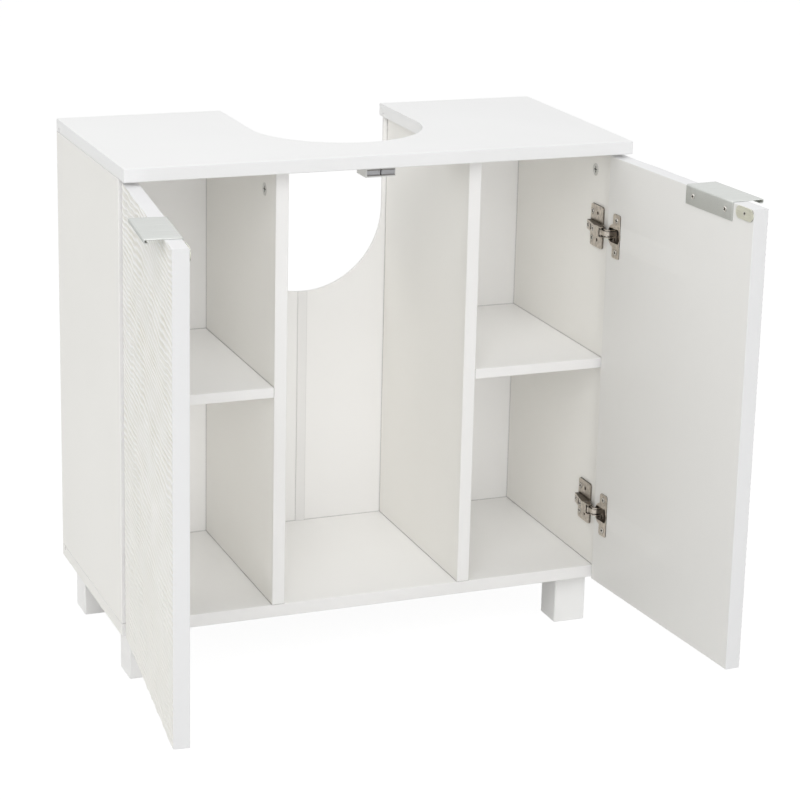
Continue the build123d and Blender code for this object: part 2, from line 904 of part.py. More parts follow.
def arm_slot(z):
    """Slot across the arm's crown."""
    back = front + arm_slot_back
    return block(rail_top - half, arm_high - half, back - arm_slot_width / 2,
                 back + arm_slot_width / 2, z - arm_slot_length / 2, z + arm_slot_length / 2)


def arm_screws():
    """Fixing and side-adjusting screws of the left arms."""
    pieces = []
    for z in hinge_heights:
        for back in (arm_screw_back, side_screw_back):
            seat = screw_seat(back)
            pieces.append(screw(spot(seat, back, z), (-1, 0, 0), machine_radius, seat - board,
                                machine_head_radius, machine_head))
    return pieces


def plate_screws():
    """Wood screws of the left wing plates."""
    pieces = []
    for z in hinge_heights:
        for side in (-1, 1):
            start = spot(board + plate_sheet, plate_screw_back, z + side * plate_screw_pitch / 2)
            length = screw_length
            pieces.append(screw(start, (-1, 0, 0), screw_radius, length, head_radius, head_height))
    return pieces


def arm_pins():
    """Pins through the noses of the left arms."""
    pieces = []
    for z in hinge_heights:
        for inward, back in ((outer_pin_in, outer_pin_back), (inner_pin_in, inner_pin_back)):
            start = spot(inward, back, z - nose_width / 2)
            pieces.append(rod(pin_radius, start, nose_width, (0, 0, 1)))
    return pieces


# ---- links, drawn after the full swing ----
def strap_path(pin, bow, run, end, hook, dip):
    """Points along a link: forward from its pin, round the door's corner, into the cup."""
    return [
        pin,
        (pin[0] + bow, pin[1] - run),
        (end[0] + hook, end[1] - dip),
        end,
    ]


def strap(path, width, z0, z1):
    """A flat strap along a path, with round ends and knees."""
    body = None
    for first, second in zip(path[:-1], path[1:]):
        length = hypot(second[0] - first[0], second[1] - first[1])
        angle = degrees(atan2(second[1] - first[1], second[0] - first[0]))
        bar = Pos(length / 2, 0, 0) * Box(length, width, z1 - z0, align=(Align.CENTER, Align.CENTER, Align.MIN))
        bar = Pos(*spot(first[0], first[1], z0)) * Rot(0, 0, angle) * bar
        knee = rod(width / 2, spot(second[0], second[1], z0), z1 - z0, (0, 0, 1))
        body = bar + knee if body is None else body + bar + knee
    eye = rod(eye_radius, spot(path[0][0], path[0][1], z0), z1 - z0, (0, 0, 1))
    return body + eye


def link_path(which):
    """The path of the outer or the inner link."""
    if which == "outer":
        pin = (outer_pin_in, outer_pin_back)
        return strap_path(pin, outer_bow, outer_run, outer_open, outer_hook, outer_dip)
    pin = (inner_pin_in, inner_pin_back)
    return strap_path(pin, -inner_bow, inner_run, inner_open, inner_hook, inner_dip)


def link_bore(pin_in, pin_back, z):
    """Running bore of a link on its pin."""
    return rod(pin_radius + pin_fit, spot(pin_in, pin_back, z - arm_width), 2 * arm_width, (0, 0, 1))


def outer_link(z):
    """U-section link: two cheeks joined by a web near the pin."""
    path = link_path("outer")
    high = strap(path, outer_strap, z + cheek_inner, z + cheek_inner + cheek_sheet)
    low = strap(path, outer_strap, z - cheek_inner - cheek_sheet, z - cheek_inner)
    angle = degrees(atan2(path[1][1] - path[0][1], path[1][0] - path[0][0]))
    wide = cheek_inner + cheek_sheet
    sheet = Pos(web_from + web_length / 2, (web_sheet - outer_strap) / 2, 0) * Box(
        web_length, web_sheet, 2 * wide)
    web = Pos(*spot(outer_pin_in, outer_pin_back, z)) * Rot(0, 0, angle) * sheet
    return high + low + web - link_bore(outer_pin_in, outer_pin_back, z)


def inner_link(z):
    """Single strap that runs between the outer link's cheeks."""
    body = strap(link_path("inner"), inner_strap, z - inner_half, z + inner_half)
    return body - link_bore(inner_pin_in, inner_pin_back, z)


def settle(shape, pin_in, pin_back, turn, door_angle):
    """Turns a left link from the full swing to where it lies at a door angle."""
    return turn_about(pin_in, pin_back, turn * (door_angle - full_swing) / full_swing, shape)


def links(builder, pin_in, pin_back, turn, door_angle):
    """Both links of one kind on the left side at a door angle."""
    return [settle(builder(z), pin_in, pin_back, turn, door_angle) for z in hinge_heights]


# ---- writing every node ----
def save_carcass():
    """Boards, feet and joining hardware."""
    save("top_panel", top())
    save("bottom_panel", bottom())
    for name, body in (("side_panel", left_side()), ("divider", left_divider()),
                       ("shelf", left_shelf()), ("back_board", left_back())):
        save("left_" + name, body)
        save("right_" + name, flip(body))
    save("back_joint_strip", back_strip())
    for row, front_row in (("front", True), ("rear", False)):
        foot = left_foot(front_row)
        save(row + "_left_foot", foot)
        save(row + "_right_foot", flip(foot))
    save("foot_studs", both(foot_stud(True)) + both(foot_stud(False)))
    hardware = {"cam_locks": [], "cam_bolts": [], "top_dowels": [], "bottom_screws": []}
    for inward, face in ((0, 1), (divider_in, -1)):
        for piece in cams(inward, face):
            hardware["cam_locks"] += both(piece)
        for piece in cam_bolts(inward):
            hardware["cam_bolts"] += both(piece)
        hardware["top_dowels"] += both(top_dowels(inward))
        for piece in long_screws(inward):
            hardware["bottom_screws"] += both(piece)
    for name, pieces in hardware.items():
        save(name, pieces)
    dowels = []
    for piece in shelf_dowels():
        dowels += both(piece)
    save("shelf_dowels", dowels)


def save_catch():
    """The double magnetic catch."""
    save("catch_housing", catch_housing())
    save("catch_magnets", catch_magnets())
    save("catch_pole_plates", catch_poles())
    save("catch_screws", catch_screws())


def save_doors():
    """Everything that turns with the doors."""
    save("left_door_panel", swing_left(left_door_panel()))
    save("right_door_panel", swing_right(right_door_panel()))
    fittings = {
        "handle": [handle()],
        "handle_screws": handle_screws(),
        "strike_plate": [strike()],
        "strike_screw": [strike_screw()],
        "lower_hinge_cup": [cup(hinge_heights[0])],
        "upper_hinge_cup": [cup(hinge_heights[1])],
        "cup_screws": cup_screws(),
    }
    for name, pieces in fittings.items():
        pairs = [swing_both(piece) for piece in pieces]
        save("left_" + name, [pair[0] for pair in pairs])
        save("right_" + name, [pair[1] for pair in pairs])


def save_hinges():
    """Hinge pieces on the side panels, and the links."""
    for row, z in (("lower", hinge_heights[0]), ("upper", hinge_heights[1])):
        for name, body in (("wing_plate", wing_plate(z)), ("hinge_arm", arm(z))):
            save("left_" + row + "_" + name, body)
            save("right_" + row + "_" + name, flip(body))
    for name, pieces in (("hinge_arm_screws", arm_screws()), ("wing_plate_screws", plate_screws()),
                         ("hinge_arm_pins", arm_pins())):
        twins = []
        for piece in pieces:
            twins += both(piece)
        save(name, twins)
    kinds = (
        ("outer_links", outer_link, outer_pin_in, outer_pin_back, outer_turn),
        ("inner_links", inner_link, inner_pin_in, inner_pin_back, inner_turn),
    )
    for name, builder, pin_in, pin_back, turn in kinds:
        save("left_" + name, links(builder, pin_in, pin_back, turn, left_open))
        right = links(builder, pin_in, pin_back, turn, right_open)
        save("right_" + name, [flip(piece) for piece in right])


save_carcass()
save_catch()
save_doors()
save_hinges()
print("door axis x, y:", half - axis_in, front + axis_back)
print("outer link pin x, y:", half - outer_pin_in, front + outer_pin_back)
print("inner link pin x, y:", half - inner_pin_in, front + inner_pin_back)
print("link ratios:", -outer_turn / full_swing, -inner_turn / full_swing)
print("hinge heights:", hinge_heights, "unit height:", unit_height)
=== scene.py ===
import json
import math

import bmesh
import bpy
import numpy as np
from mathutils import Matrix, Vector
from mathutils.geometry import tessellate_polygon

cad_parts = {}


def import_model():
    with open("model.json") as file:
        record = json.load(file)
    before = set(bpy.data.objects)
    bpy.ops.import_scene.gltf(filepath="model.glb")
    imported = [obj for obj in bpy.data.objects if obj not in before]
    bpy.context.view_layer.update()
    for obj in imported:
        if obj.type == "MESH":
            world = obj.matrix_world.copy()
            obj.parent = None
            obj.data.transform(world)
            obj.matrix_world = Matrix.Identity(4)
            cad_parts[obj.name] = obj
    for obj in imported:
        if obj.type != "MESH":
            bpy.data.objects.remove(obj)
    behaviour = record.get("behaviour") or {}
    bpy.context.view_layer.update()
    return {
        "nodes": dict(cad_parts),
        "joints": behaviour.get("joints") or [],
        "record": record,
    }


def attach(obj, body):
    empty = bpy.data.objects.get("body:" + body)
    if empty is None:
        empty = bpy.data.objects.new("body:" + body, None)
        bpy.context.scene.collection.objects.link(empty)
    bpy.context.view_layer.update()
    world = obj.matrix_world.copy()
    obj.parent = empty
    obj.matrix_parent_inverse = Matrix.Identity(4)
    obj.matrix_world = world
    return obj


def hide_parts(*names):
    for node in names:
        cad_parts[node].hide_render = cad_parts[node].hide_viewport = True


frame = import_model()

nodes = frame["nodes"]
joints = {joint["name"]: joint for joint in frame["joints"]}

# Sizes in metres, in the frame of the solids: X right, Y back, Z up, doors stored open.
HALF = 0.300
DOOR_WIDTH = 0.298
DOOR_THICK = 0.018
DOOR_LOW = 0.063
DOOR_TOP = 0.583
DOOR_MARGIN = 0.001
DOOR_ROUND = 0.0009
DOOR_ROUND_STEPS = 4
DOOR_COLUMNS = 100
DOOR_ROWS = 781

# The bores for the hinge cups: their heights, how far they lie in from the carcass's side, their radius
# and their depth.
HINGE_HEIGHTS = (0.151, 0.492)
CUP_IN = 0.018
CUP_BORE = 0.01305
CUP_DEEP = 0.0115
CUP_SIDES = 48

# The handle: its start from the carcass's side, its length along the door, its sheet, how far its flange
# goes down the back, how far it reaches before the front, how far its lip goes down and curls back, the
# radii of its bends, how its outline grows from either end, and the places of its plain rings.
HANDLE_START = 0.167
HANDLE_LENGTH = 0.0925
HANDLE_SHEET = 0.0012
HANDLE_FLANGE = 0.020
HANDLE_REACH = 0.020
HANDLE_LIP = 0.005
HANDLE_CURL = 0.004
HANDLE_BENDS = (0.0014, 0.0012, 0.0009)
HANDLE_END_ROUND = ((0.0, 0.62), (0.00008, 0.86), (0.00028, 1.0))
HANDLE_RINGS = (0.02, 0.046, 0.0725)
BEND_STEPS = 7

# The sheet's cut edges are round: how far they bulge, in half sheets, and in how many steps.
CUT_BULGE = 0.9
CUT_STEPS = 6

# Points closer than this become one, and places of the solids' points are compared to so many digits.
WELD = 1e-7
PLACE_DIGITS = 6

# The carving: a pitch, a depth and a dip, and the waves that bend it. A wave is a height, a length
# along x, a length along z (less than zero slants it the other way) and the angle at which it starts.
RIPPLE_PITCH = 0.0071
RIPPLE_DEPTH = 0.0011
RIPPLE_DIP = math.radians(5.0)
SWAYS = ((0.0035, 0.230, math.inf, 0.0), (0.0009, 0.071, 0.31, 1.1), (0.0005, 0.033, -0.17, 4.0))
PUSHES = ((0.40, 0.33, 0.13, 0.0), (0.22, 0.24, -0.083, 1.0))
FORKS = ((2.2, 0.37, 0.071, 0.0), (1.6, 0.21, -0.157, 1.3))
FORK_BIAS = 0.4
FORK_SHIFT = 0.1
SMALL_SHARE = 0.42
LIFT_LONG = (1.0, 0.11, 0.14, 0.5)
LIFT_SHORT = (1.0, 0.29, -0.047, 0.0)
LIFT = 0.18
EDGE_DEPTH = 0.78
EDGE_BAND = 0.006
SCOOP_SLANT = 1.35

# A face belongs to the carved front if all of it lies less than the carving's depth times this factor
# behind the crests, and to the flat back if all of it lies less than this far, in metres, before the back.
FRONT_SLACK = 1.02
BACK_SLACK = 0.0001

# A screw: its head in shares of the head's radius and height, how much of its length from the foot up
# is measured as shank, and the radius of its tip in metres. The twists are in radians.
SCREW_SIDES = 48
SCREW_RINGS = 15
RING_POWER = 0.8
DOME_POWER = 5
RECESS_DEPTH = 0.7
ARM_HALF_WIDTH = 0.25
ARM_SOFT = 0.07
ARM_REACH = 0.76
HUB_REACH = 0.46
REACH_SOFT = 0.12
LEAST_HEAD = 0.3
SHANK_SHARE = 0.3
TIP_RADIUS = 1e-7
FIRST_TWIST = 0.4
TWIST_STEP = 1.9


# ---------------------------------------------------------------- meshes

def new_piece(name, points, faces):
    """A smooth mesh object at the origin from an array of points and a list of faces."""
    mesh = bpy.data.meshes.new(name)
    mesh.from_pydata([tuple(p) for p in points], [], [tuple(int(i) for i in f) for f in faces])
    mesh.validate()
    mesh.update()
    obj = bpy.data.objects.new(name, mesh)
    bpy.context.scene.collection.objects.link(obj)
    mesh.polygons.foreach_set("use_smooth", np.full(len(mesh.polygons), True))
    return obj


def grid_faces(rows, cols, start=0, wrap=False):
    """Quads of a grid of rows by cols points, stored row by row from start on; with wrap the last
    column meets the first."""
    r = np.arange(rows - 1)[:, None]
    c = np.arange(cols if wrap else cols - 1)[None, :]
    after = (c + 1) % cols
    quads = np.stack([r * cols + c, r * cols + after, (r + 1) * cols + after, (r + 1) * cols + c], -1)
    return quads.reshape(-1, 4) + start


def sharpen(obj, degrees):
    """Marks every edge sharp where its two faces meet at more than this angle."""
    obj.data.set_sharp_from_angle(angle=math.radians(degrees))
    return obj


def tidy_normals(obj):
    """Joins points at one place and turns every face of a closed mesh outwards."""
    work = bmesh.new()
    work.from_mesh(obj.data)
    bmesh.ops.remove_doubles(work, verts=work.verts, dist=WELD)
    bmesh.ops.recalc_face_normals(work, faces=work.faces)
    work.to_mesh(obj.data)
    work.free()
    obj.data.update()


def stored_turn(side):
    """The turn that takes a closed door's drawing to the angle at which that door is stored."""
    joint = joints[side + "_door_swing"]
    low, high = joint["range_deg"]
    angle = math.radians(-high if side == "left" else -low)
    pivot = Vector(joint["pos_m"])
    turn = Matrix.Rotation(angle, 4, "Z")
    return Matrix.Translation(pivot) @ turn @ Matrix.Translation(-pivot)


def turned(points, side):
    """Points of a closed door's drawing, turned to the stored angle."""
    turn = np.array(stored_turn(side))
    return points @ turn[:3, :3].T + turn[:3, 3]


def vertex_places(mesh):
    """The places of a mesh's points, as rows of three numbers."""
    places = np.empty(len(mesh.vertices) * 3)
    mesh.vertices.foreach_get("co", places)
    return places.reshape(-1, 3)


def corner_points(mesh):
    """The number of the point at each corner of the faces."""
    corner = np.empty(len(mesh.loops), np.int64)
    mesh.loops.foreach_get("vertex_index", corner)
    return corner


def islands(node):
    """The separate solids of a node, each as an array of its points.
    Points at one place share a label, and every triangle passes its lowest label on until none changes."""
    mesh = nodes[node].data
    spots, where = np.unique(np.round(vertex_places(mesh), PLACE_DIGITS), axis=0, return_inverse=True)
    triangles = where.reshape(-1)[corner_points(mesh)].reshape(-1, 3)
    label = np.arange(len(spots))
    while True:
        low = label[triangles].min(1)
        fresh = label.copy()
        for corner in range(3):
            np.minimum.at(fresh, triangles[:, corner], low)
        if (fresh == label).all():
            break
        label = fresh
    return [spots[label == value] for value in np.unique(label)]


# ---------------------------------------------------------------- rippled doors

def waves(rows, x, z):
    """The sum of sine waves at places. A wave is its height times the sine of an angle: its starting angle
    plus a full circle times the sum of x over its length along x and z over its length along z."""
    total = 0
    for height, along, up, start in rows:
        total = total + height * np.sin(2 * np.pi * (x / along + z / up) + start)
    return total


def scoop(turns):
    """A row of hollows one turn apart, with a sharp crest between neighbours: 0 at a crest and 1 at the
    deepest line. Going down from a crest the hollow deepens slowly and comes back quickly, because the
    share of the turn is raised to a power before it goes through the parabola four g times one minus g."""
    share = (1 - (turns - np.floor(turns))) ** SCOOP_SLANT
    return 4 * share * (1 - share)


def ripple_shape(x, z):
    """How deep the carving is, from 0 on a crest to 1, at a place on the closed pair of doors.
    Each ridge line falls with x at a steady dip and sways in slow sine waves, and the count of turns is
    pushed to and fro by two slanting waves, so that lines draw together and part. Where a slow mask is
    high, half-size hollows are mixed in and every line forks. The depth rises and falls slowly, by the
    product of two more waves, and is less on the first few millimetres from the upright edges."""
    fall = -(x + HALF) * math.sin(RIPPLE_DIP)
    turns = (z - fall - waves(SWAYS, x, z)) / RIPPLE_PITCH
    turns = turns + waves(PUSHES, x, z)
    fork = 0.5 + 0.5 * np.tanh(waves(FORKS, x, z) - FORK_BIAS)
    height = 1 - LIFT + LIFT * waves([LIFT_LONG], x, z) * waves([LIFT_SHORT], x, z)
    from_edge = np.minimum(np.abs(x) - DOOR_MARGIN, HALF - DOOR_MARGIN - np.abs(x))
    near_edge = EDGE_DEPTH + (1 - EDGE_DEPTH) * np.clip(from_edge / EDGE_BAND, 0, 1)
    large = scoop(turns) * (1 - 0.5 * fork)
    small = SMALL_SHARE * scoop(2 * turns + FORK_SHIFT) * fork
    return near_edge * height * (large + small)


def mark_front(obj, side):
    """Stores three numbers at every corner of the faces: "front", which is 1 on the carved front, "valley",
    the carving's depth share there, and "inside", which is 1 on the flat back. The front's faces are those
    whose deepest corner lies within the carving's depth, and the back's are those whose foremost corner
    lies on the back."""
    mesh = obj.data
    back = np.array(stored_turn(side).inverted())
    behind = vertex_places(mesh) @ back[1, :3] + back[1, 3]
    depth = behind[corner_points(mesh)]
    count = np.empty(len(mesh.polygons), np.int64)
    first = np.empty(len(mesh.polygons), np.int64)
    mesh.polygons.foreach_get("loop_total", count)
    mesh.polygons.foreach_get("loop_start", first)
    front = np.repeat(np.maximum.reduceat(depth, first) < RIPPLE_DEPTH * FRONT_SLACK, count)
    valley = np.clip(depth / RIPPLE_DEPTH * front, 0, 1)
    inside = np.repeat(np.minimum.reduceat(depth, first) > DOOR_THICK - BACK_SLACK, count)
    for label, value in (("front", front), ("valley", valley), ("inside", inside)):
        entry = mesh.attributes.new(label, "FLOAT", "CORNER")
        entry.data.foreach_set("value", value.astype(np.float32))


def grid_rim(rows, cols):
    """The numbers of a grid's outermost points, once round."""
    return np.concatenate([
        np.arange(cols),
        np.arange(1, rows) * cols + cols - 1,
        (rows - 1) * cols + np.arange(cols - 2, -1, -1),
        np.arange(rows - 2, 0, -1) * cols,
    ])


def ring_band(first, second):
    """Quads between two rings of as many points, given as arrays of point numbers."""
    return list(np.stack([first, second, np.roll(second, -1), np.roll(first, -1)], -1))


def door(side):
    """A carved door board. The front is a grid of points (x, depth times the ripple shape, z). Its rim
    runs straight back along the four edges and turns through a quarter round into the flat back. The back
    is one polygon with a round hole for each hinge cup, whose wall goes in to a flat floor."""
    x0 = -HALF + DOOR_MARGIN if side == "left" else DOOR_MARGIN
    across = np.linspace(x0, x0 + DOOR_WIDTH, DOOR_COLUMNS)
    gx, gz = np.meshgrid(across, np.linspace(DOOR_LOW, DOOR_TOP, DOOR_ROWS))
    points = [np.stack([gx, RIPPLE_DEPTH * ripple_shape(gx, gz), gz], -1).reshape(-1, 3)]
    faces = list(grid_faces(DOOR_ROWS, DOOR_COLUMNS))
    previous = grid_rim(DOOR_ROWS, DOOR_COLUMNS)
    rim = points[0][previous]
    half_size = np.array([DOOR_WIDTH / 2, DOOR_THICK, (DOOR_TOP - DOOR_LOW) / 2])
    middle = np.array([x0 + DOOR_WIDTH / 2, 0, (DOOR_LOW + DOOR_TOP) / 2])
    start = DOOR_ROWS * DOOR_COLUMNS
    for step in range(DOOR_ROUND_STEPS + 1):
        turn = step / DOOR_ROUND_STEPS * math.pi / 2
        inset = DOOR_ROUND * (1 - math.cos(turn))
        layer = middle + (rim - middle) * (1 - np.array([inset, 0, inset]) / half_size)
        layer[:, 1] = DOOR_THICK - DOOR_ROUND * (1 - math.sin(turn))
        index = start + np.arange(len(rim))
        faces += ring_band(previous, index)
        points.append(layer)
        previous, start = index, start + len(rim)
    around = np.arange(CUP_SIDES)
    angle = around / CUP_SIDES * 2 * np.pi
    cup_x = -HALF + CUP_IN if side == "left" else HALF - CUP_IN
    loops, lookup = [points[-1]], [previous]
    for height in HINGE_HEIGHTS:
        x = cup_x + CUP_BORE * np.cos(angle)
        z = height + CUP_BORE * np.sin(angle)
        mouth = np.stack([x, np.full(CUP_SIDES, DOOR_THICK), z], -1)
        points += [mouth, mouth - np.array([0, CUP_DEEP, 0])]
        loops.append(mouth)
        lookup.append(start + around)
        deep = start + CUP_SIDES + around
        faces += ring_band(start + around, deep)
        faces.append(deep)
        start += 2 * CUP_SIDES
    lookup = np.concatenate(lookup)
    flat = len(faces)
    faces += [lookup[list(t)] for t in tessellate_polygon([[Vector(p) for p in loop] for loop in loops])]
    obj = new_piece(side + "_carved_door", turned(np.concatenate(points), side), faces)
    obj.data.polygons.foreach_set("use_smooth", np.arange(len(obj.data.polygons)) < flat)
    tidy_normals(obj)
    mark_front(obj, side)
    return sharpen(obj, degrees=50)


# ---------------------------------------------------------------- handles

def bent_line(corners, radii):
    """A polyline whose inner corners are replaced by arcs. Each arc starts and ends at the same distance
    from its corner: the radius over the tangent of half the angle between the two lines."""
    corners = [np.array(c, float) for c in corners]
    line = [corners[0]]
    for before, corner, after, radius in zip(corners, corners[1:], corners[2:], radii):
        a = (before - corner) / np.linalg.norm(before - corner)
        b = (after - corner) / np.linalg.norm(after - corner)
        half = math.acos(float(np.clip(a @ b, -1, 1))) / 2
        reach = radius / math.tan(half)
        centre = corner + (a + b) / np.linalg.norm(a + b) * radius / math.sin(half)
        p, q = corner + a * reach - centre, corner + b * reach - centre
        sweep = math.acos(float(np.clip(p @ q / radius ** 2, -1, 1)))
        for step in range(BEND_STEPS + 1):
            t = step / BEND_STEPS
            spoke = math.sin((1 - t) * sweep) * p + math.sin(t * sweep) * q
            line.append(centre + spoke / math.sin(sweep))
    line.append(corners[-1])
    return np.array(line)


def sheet_outline(line, half_sheet):
    """The closed outline of a sheet and the spine point that belongs to each of its points: the line
    moved half a sheet to either side, with a round cut edge at each end."""
    ahead = np.gradient(line, axis=0)
    ahead /= np.linalg.norm(ahead, axis=1)[:, None]
    normal = np.stack([-ahead[:, 1], ahead[:, 0]], -1)
    turn = np.linspace(0, np.pi, CUT_STEPS + 1)[1:-1]
    out, over = np.sin(turn) * CUT_BULGE, np.cos(turn)
    tip = line[-1] + half_sheet * (np.outer(out, ahead[-1]) + np.outer(over, normal[-1]))
    tail = line[0] - half_sheet * (np.outer(out, ahead[0]) + np.outer(over, normal[0]))
    outline = np.concatenate([line + normal * half_sheet, tip, (line - normal * half_sheet)[::-1], tail])
    tip_spine, tail_spine = line[-1:].repeat(len(turn), 0), line[:1].repeat(len(turn), 0)
    return outline, np.concatenate([line, tip_spine, line[::-1], tail_spine])


def handle(side):
    """A bent-sheet handle. The sheet's middle line runs up the flange, over the door's top edge and down
    into the curled lip. The sheet's outline is carried along the door's width, and near both ends it
    shrinks towards the middle line, which rounds them."""
    half_sheet = HANDLE_SHEET / 2
    back = DOOR_THICK + half_sheet
    front = -HANDLE_REACH + half_sheet
    top = DOOR_TOP + half_sheet
    lip = DOOR_TOP + HANDLE_SHEET - HANDLE_LIP + half_sheet
    corners = [(back, DOOR_TOP - HANDLE_FLANGE), (back, top), (front, top), (front, lip),
               (-HANDLE_REACH + HANDLE_CURL, lip)]
    outline, spine = sheet_outline(bent_line(corners, HANDLE_BENDS), half_sheet)
    stations = list(HANDLE_END_ROUND) + [(along, 1.0) for along in HANDLE_RINGS]
    stations += [(HANDLE_LENGTH - along, share) for along, share in reversed(HANDLE_END_ROUND)]
    count = len(outline)
    layers = []
    for along, share in stations:
        loop = spine + (outline - spine) * share
        x = np.full(count, HANDLE_START - HALF + along)
        layers.append(np.stack([x, loop[:, 0], loop[:, 1]], -1))
    points = np.concatenate(layers)
    faces = list(grid_faces(len(layers), count, wrap=True))
    last = (len(layers) - 1) * count
    cap = tessellate_polygon([[Vector((p[0], p[1], 0)) for p in outline]])
    faces += [tuple(f) for f in cap] + [tuple(last + i for i in reversed(f)) for f in cap]
    if side == "right":
        points = points * np.array([-1, 1, 1])
    obj = new_piece(side + "_bent_handle", turned(points, side), faces)
    tidy_normals(obj)
    return sharpen(obj, degrees=35)


# ---------------------------------------------------------------- screws

def fade(value, end, width):
    """1 where a value is small, falling in a straight line over a width to 0 at the end."""
    return np.clip((end - value) / width, 0, 1)


def pan_head():
    """A pan head on a polar grid: radius, angle, height and how far the cross recess is cut. The height is
    the square root of one minus r to the fifth power, less a share of the recess. The recess is 1 near
    either cross axis and near the middle, and fades towards the rim."""
    share = np.linspace(0.0, 1.0, SCREW_RINGS) ** RING_POWER
    around = np.arange(SCREW_SIDES) / SCREW_SIDES * 2 * np.pi
    r, angle = np.meshgrid(share, around, indexing="ij")
    from_axis = np.minimum(np.abs(r * np.cos(angle)), np.abs(r * np.sin(angle)))
    arm = fade(from_axis, ARM_HALF_WIDTH, ARM_SOFT) * fade(r, ARM_REACH, REACH_SOFT)
    cross = np.maximum(arm, fade(r, HUB_REACH, REACH_SOFT))
    dome = np.sqrt(np.clip(1 - r ** DOME_POWER, 0, 1)) - RECESS_DEPTH * cross
    return r, angle, dome, cross


def measure_screw(along, u, v):
    """A screw's measures from its points, given as distances along it and across it both ways: its middle
    across, its head's and its shank's radius, its top, its head's height and its foot."""
    top, foot = along.max(), along.min()
    mid_u, mid_v = (u.max() + u.min()) / 2, (v.max() + v.min()) / 2
    radius = (u.max() - u.min()) / 2
    deep = along < foot + (top - foot) * SHANK_SHARE
    shank = (u[deep].max() - u[deep].min()) / 2
    wide = along[np.hypot(u - mid_u, v - mid_v) > (radius + shank) / 2]
    head = max(wide.max() - wide.min(), radius * LEAST_HEAD)
    return mid_u, mid_v, radius, shank, top, head, foot


def screws(name, node, outward):
    """Every screw of a node, with a pan head. Each solid gives the screw's place and measures, and each
    head is turned by its own angle. After the head's rings come four more: under the head's rim, under
    the head at the shank, at the start of the tip and at its point. The point attribute "recess" holds
    how far the cross recess is cut, and is 1 below the head."""
    r, angle, dome, cross = pan_head()
    sunk = np.concatenate([cross, np.full((4, SCREW_SIDES), 1.0)]).reshape(-1)
    points, faces, start = [], [], 0
    for number, solid in enumerate(islands(node)):
        out = np.array(outward(solid.mean(0)), float)
        side = np.cross(out, [0, 0, 1.0])
        other = np.cross(out, side)
        along, u, v = solid @ out, solid @ side, solid @ other
        mid_u, mid_v, radius, shank, top, head, foot = measure_screw(along, u, v)
        seat = top - head
        lower = np.repeat([seat, seat, foot + shank, foot], SCREW_SIDES).reshape(4, -1)
        narrow = np.repeat([radius, shank, shank, TIP_RADIUS], SCREW_SIDES).reshape(4, -1)
        levels = np.concatenate([seat + head * dome, lower])[..., None]
        spread = np.concatenate([r * radius, narrow])
        twist = FIRST_TWIST + TWIST_STEP * number + angle[:1]
        across = (mid_u + spread * np.cos(twist))[..., None]
        upward = (mid_v + spread * np.sin(twist))[..., None]
        ring = levels * out + across * side + upward * other
        points.append(ring.reshape(-1, 3))
        faces += list(grid_faces(len(ring), SCREW_SIDES, start, wrap=True))
        start += ring.shape[0] * SCREW_SIDES
    obj = new_piece(name, np.concatenate(points), faces)
    recess = obj.data.attributes.new("recess", "FLOAT", "POINT")
    recess.data.foreach_set("value", np.tile(sunk, len(points)).astype(np.float32))
    tidy_normals(obj)
    return sharpen(obj, degrees=40)


# ---------------------------------------------------------------- shader helpers

BEVEL_SAMPLES = 4
RECESS_SAMPLES = 6


def feed(tree, socket, value):
    """Gives an input a link, a colour of three numbers or a number."""
    if isinstance(value, bpy.types.NodeSocket):
        tree.links.new(value, socket)
    elif isinstance(value, tuple):
        socket.default_value = (*value, 1)
    else:
        socket.default_value = value


def math_node(tree, operation, a, b=0.0, clamp=False):
    """A Math node fed by sockets or numbers."""
    node = tree.nodes.new("ShaderNodeMath")
    node.operation = operation
    node.use_clamp = clamp
    feed(tree, node.inputs[0], a)
    feed(tree, node.inputs[1], b)
    return node.outputs[0]


def noise(tree, vector, scale, detail, roughness=0.5):
    """A Noise Texture's value on a vector."""
    node = tree.nodes.new("ShaderNodeTexNoise")
    feed(tree, node.inputs["Vector"], vector)
    feed(tree, node.inputs["Scale"], scale)
    feed(tree, node.inputs["Detail"], detail)
    feed(tree, node.inputs["Roughness"], roughness)
    return node.outputs["Fac"]


def span_value(tree, value, low, high, out_low=0.0, out_high=1.0):
    """A number mapped from one range to another."""
    node = tree.nodes.new("ShaderNodeMapRange")
    feed(tree, node.inputs["Value"], value)
    for label, number in (("From Min", low), ("From Max", high), ("To Min", out_low), ("To Max", out_high)):
        feed(tree, node.inputs[label], number)
    return node.outputs["Result"]


def mix_colour(tree, share, first, second, blend="MIX"):
    """A colour between two, or their product: the colours and the share are sockets or numbers."""
    mix = tree.nodes.new("ShaderNodeMix")
    mix.data_type = "RGBA"
    mix.blend_type = blend
    feed(tree, mix.inputs["Factor"], share)
    feed(tree, mix.inputs[6], first)
    feed(tree, mix.inputs[7], second)
    return mix.outputs[2]


def object_place(tree):
    """The place in the object's own coordinates."""
    return tree.nodes.new("ShaderNodeTexCoord").outputs["Object"]


def parts_of(tree, vector):
    """The X, Y and Z of a vector."""
    node = tree.nodes.new("ShaderNodeSeparateXYZ")
    feed(tree, node.inputs[0], vector)
    return node.outputs


def face_direction(tree):
    """The X, Y and Z of the flat face's own normal."""
    return parts_of(tree, tree.nodes.new("ShaderNodeNewGeometry").outputs["True Normal"])


def rounded_normal(tree, radius):
    """The normal as if edges were rounded over a radius."""
    node = tree.nodes.new("ShaderNodeBevel")
    node.samples = BEVEL_SAMPLES
    feed(tree, node.inputs["Radius"], radius)
    return node.outputs["Normal"]


def bump(tree, height, distance, normal):
    """A normal that follows a height."""
    node = tree.nodes.new("ShaderNodeBump")
    feed(tree, node.inputs["Height"], height)
    feed(tree, node.inputs["Distance"], distance)
    feed(tree, node.inputs["Normal"], normal)
    return node.outputs["Normal"]


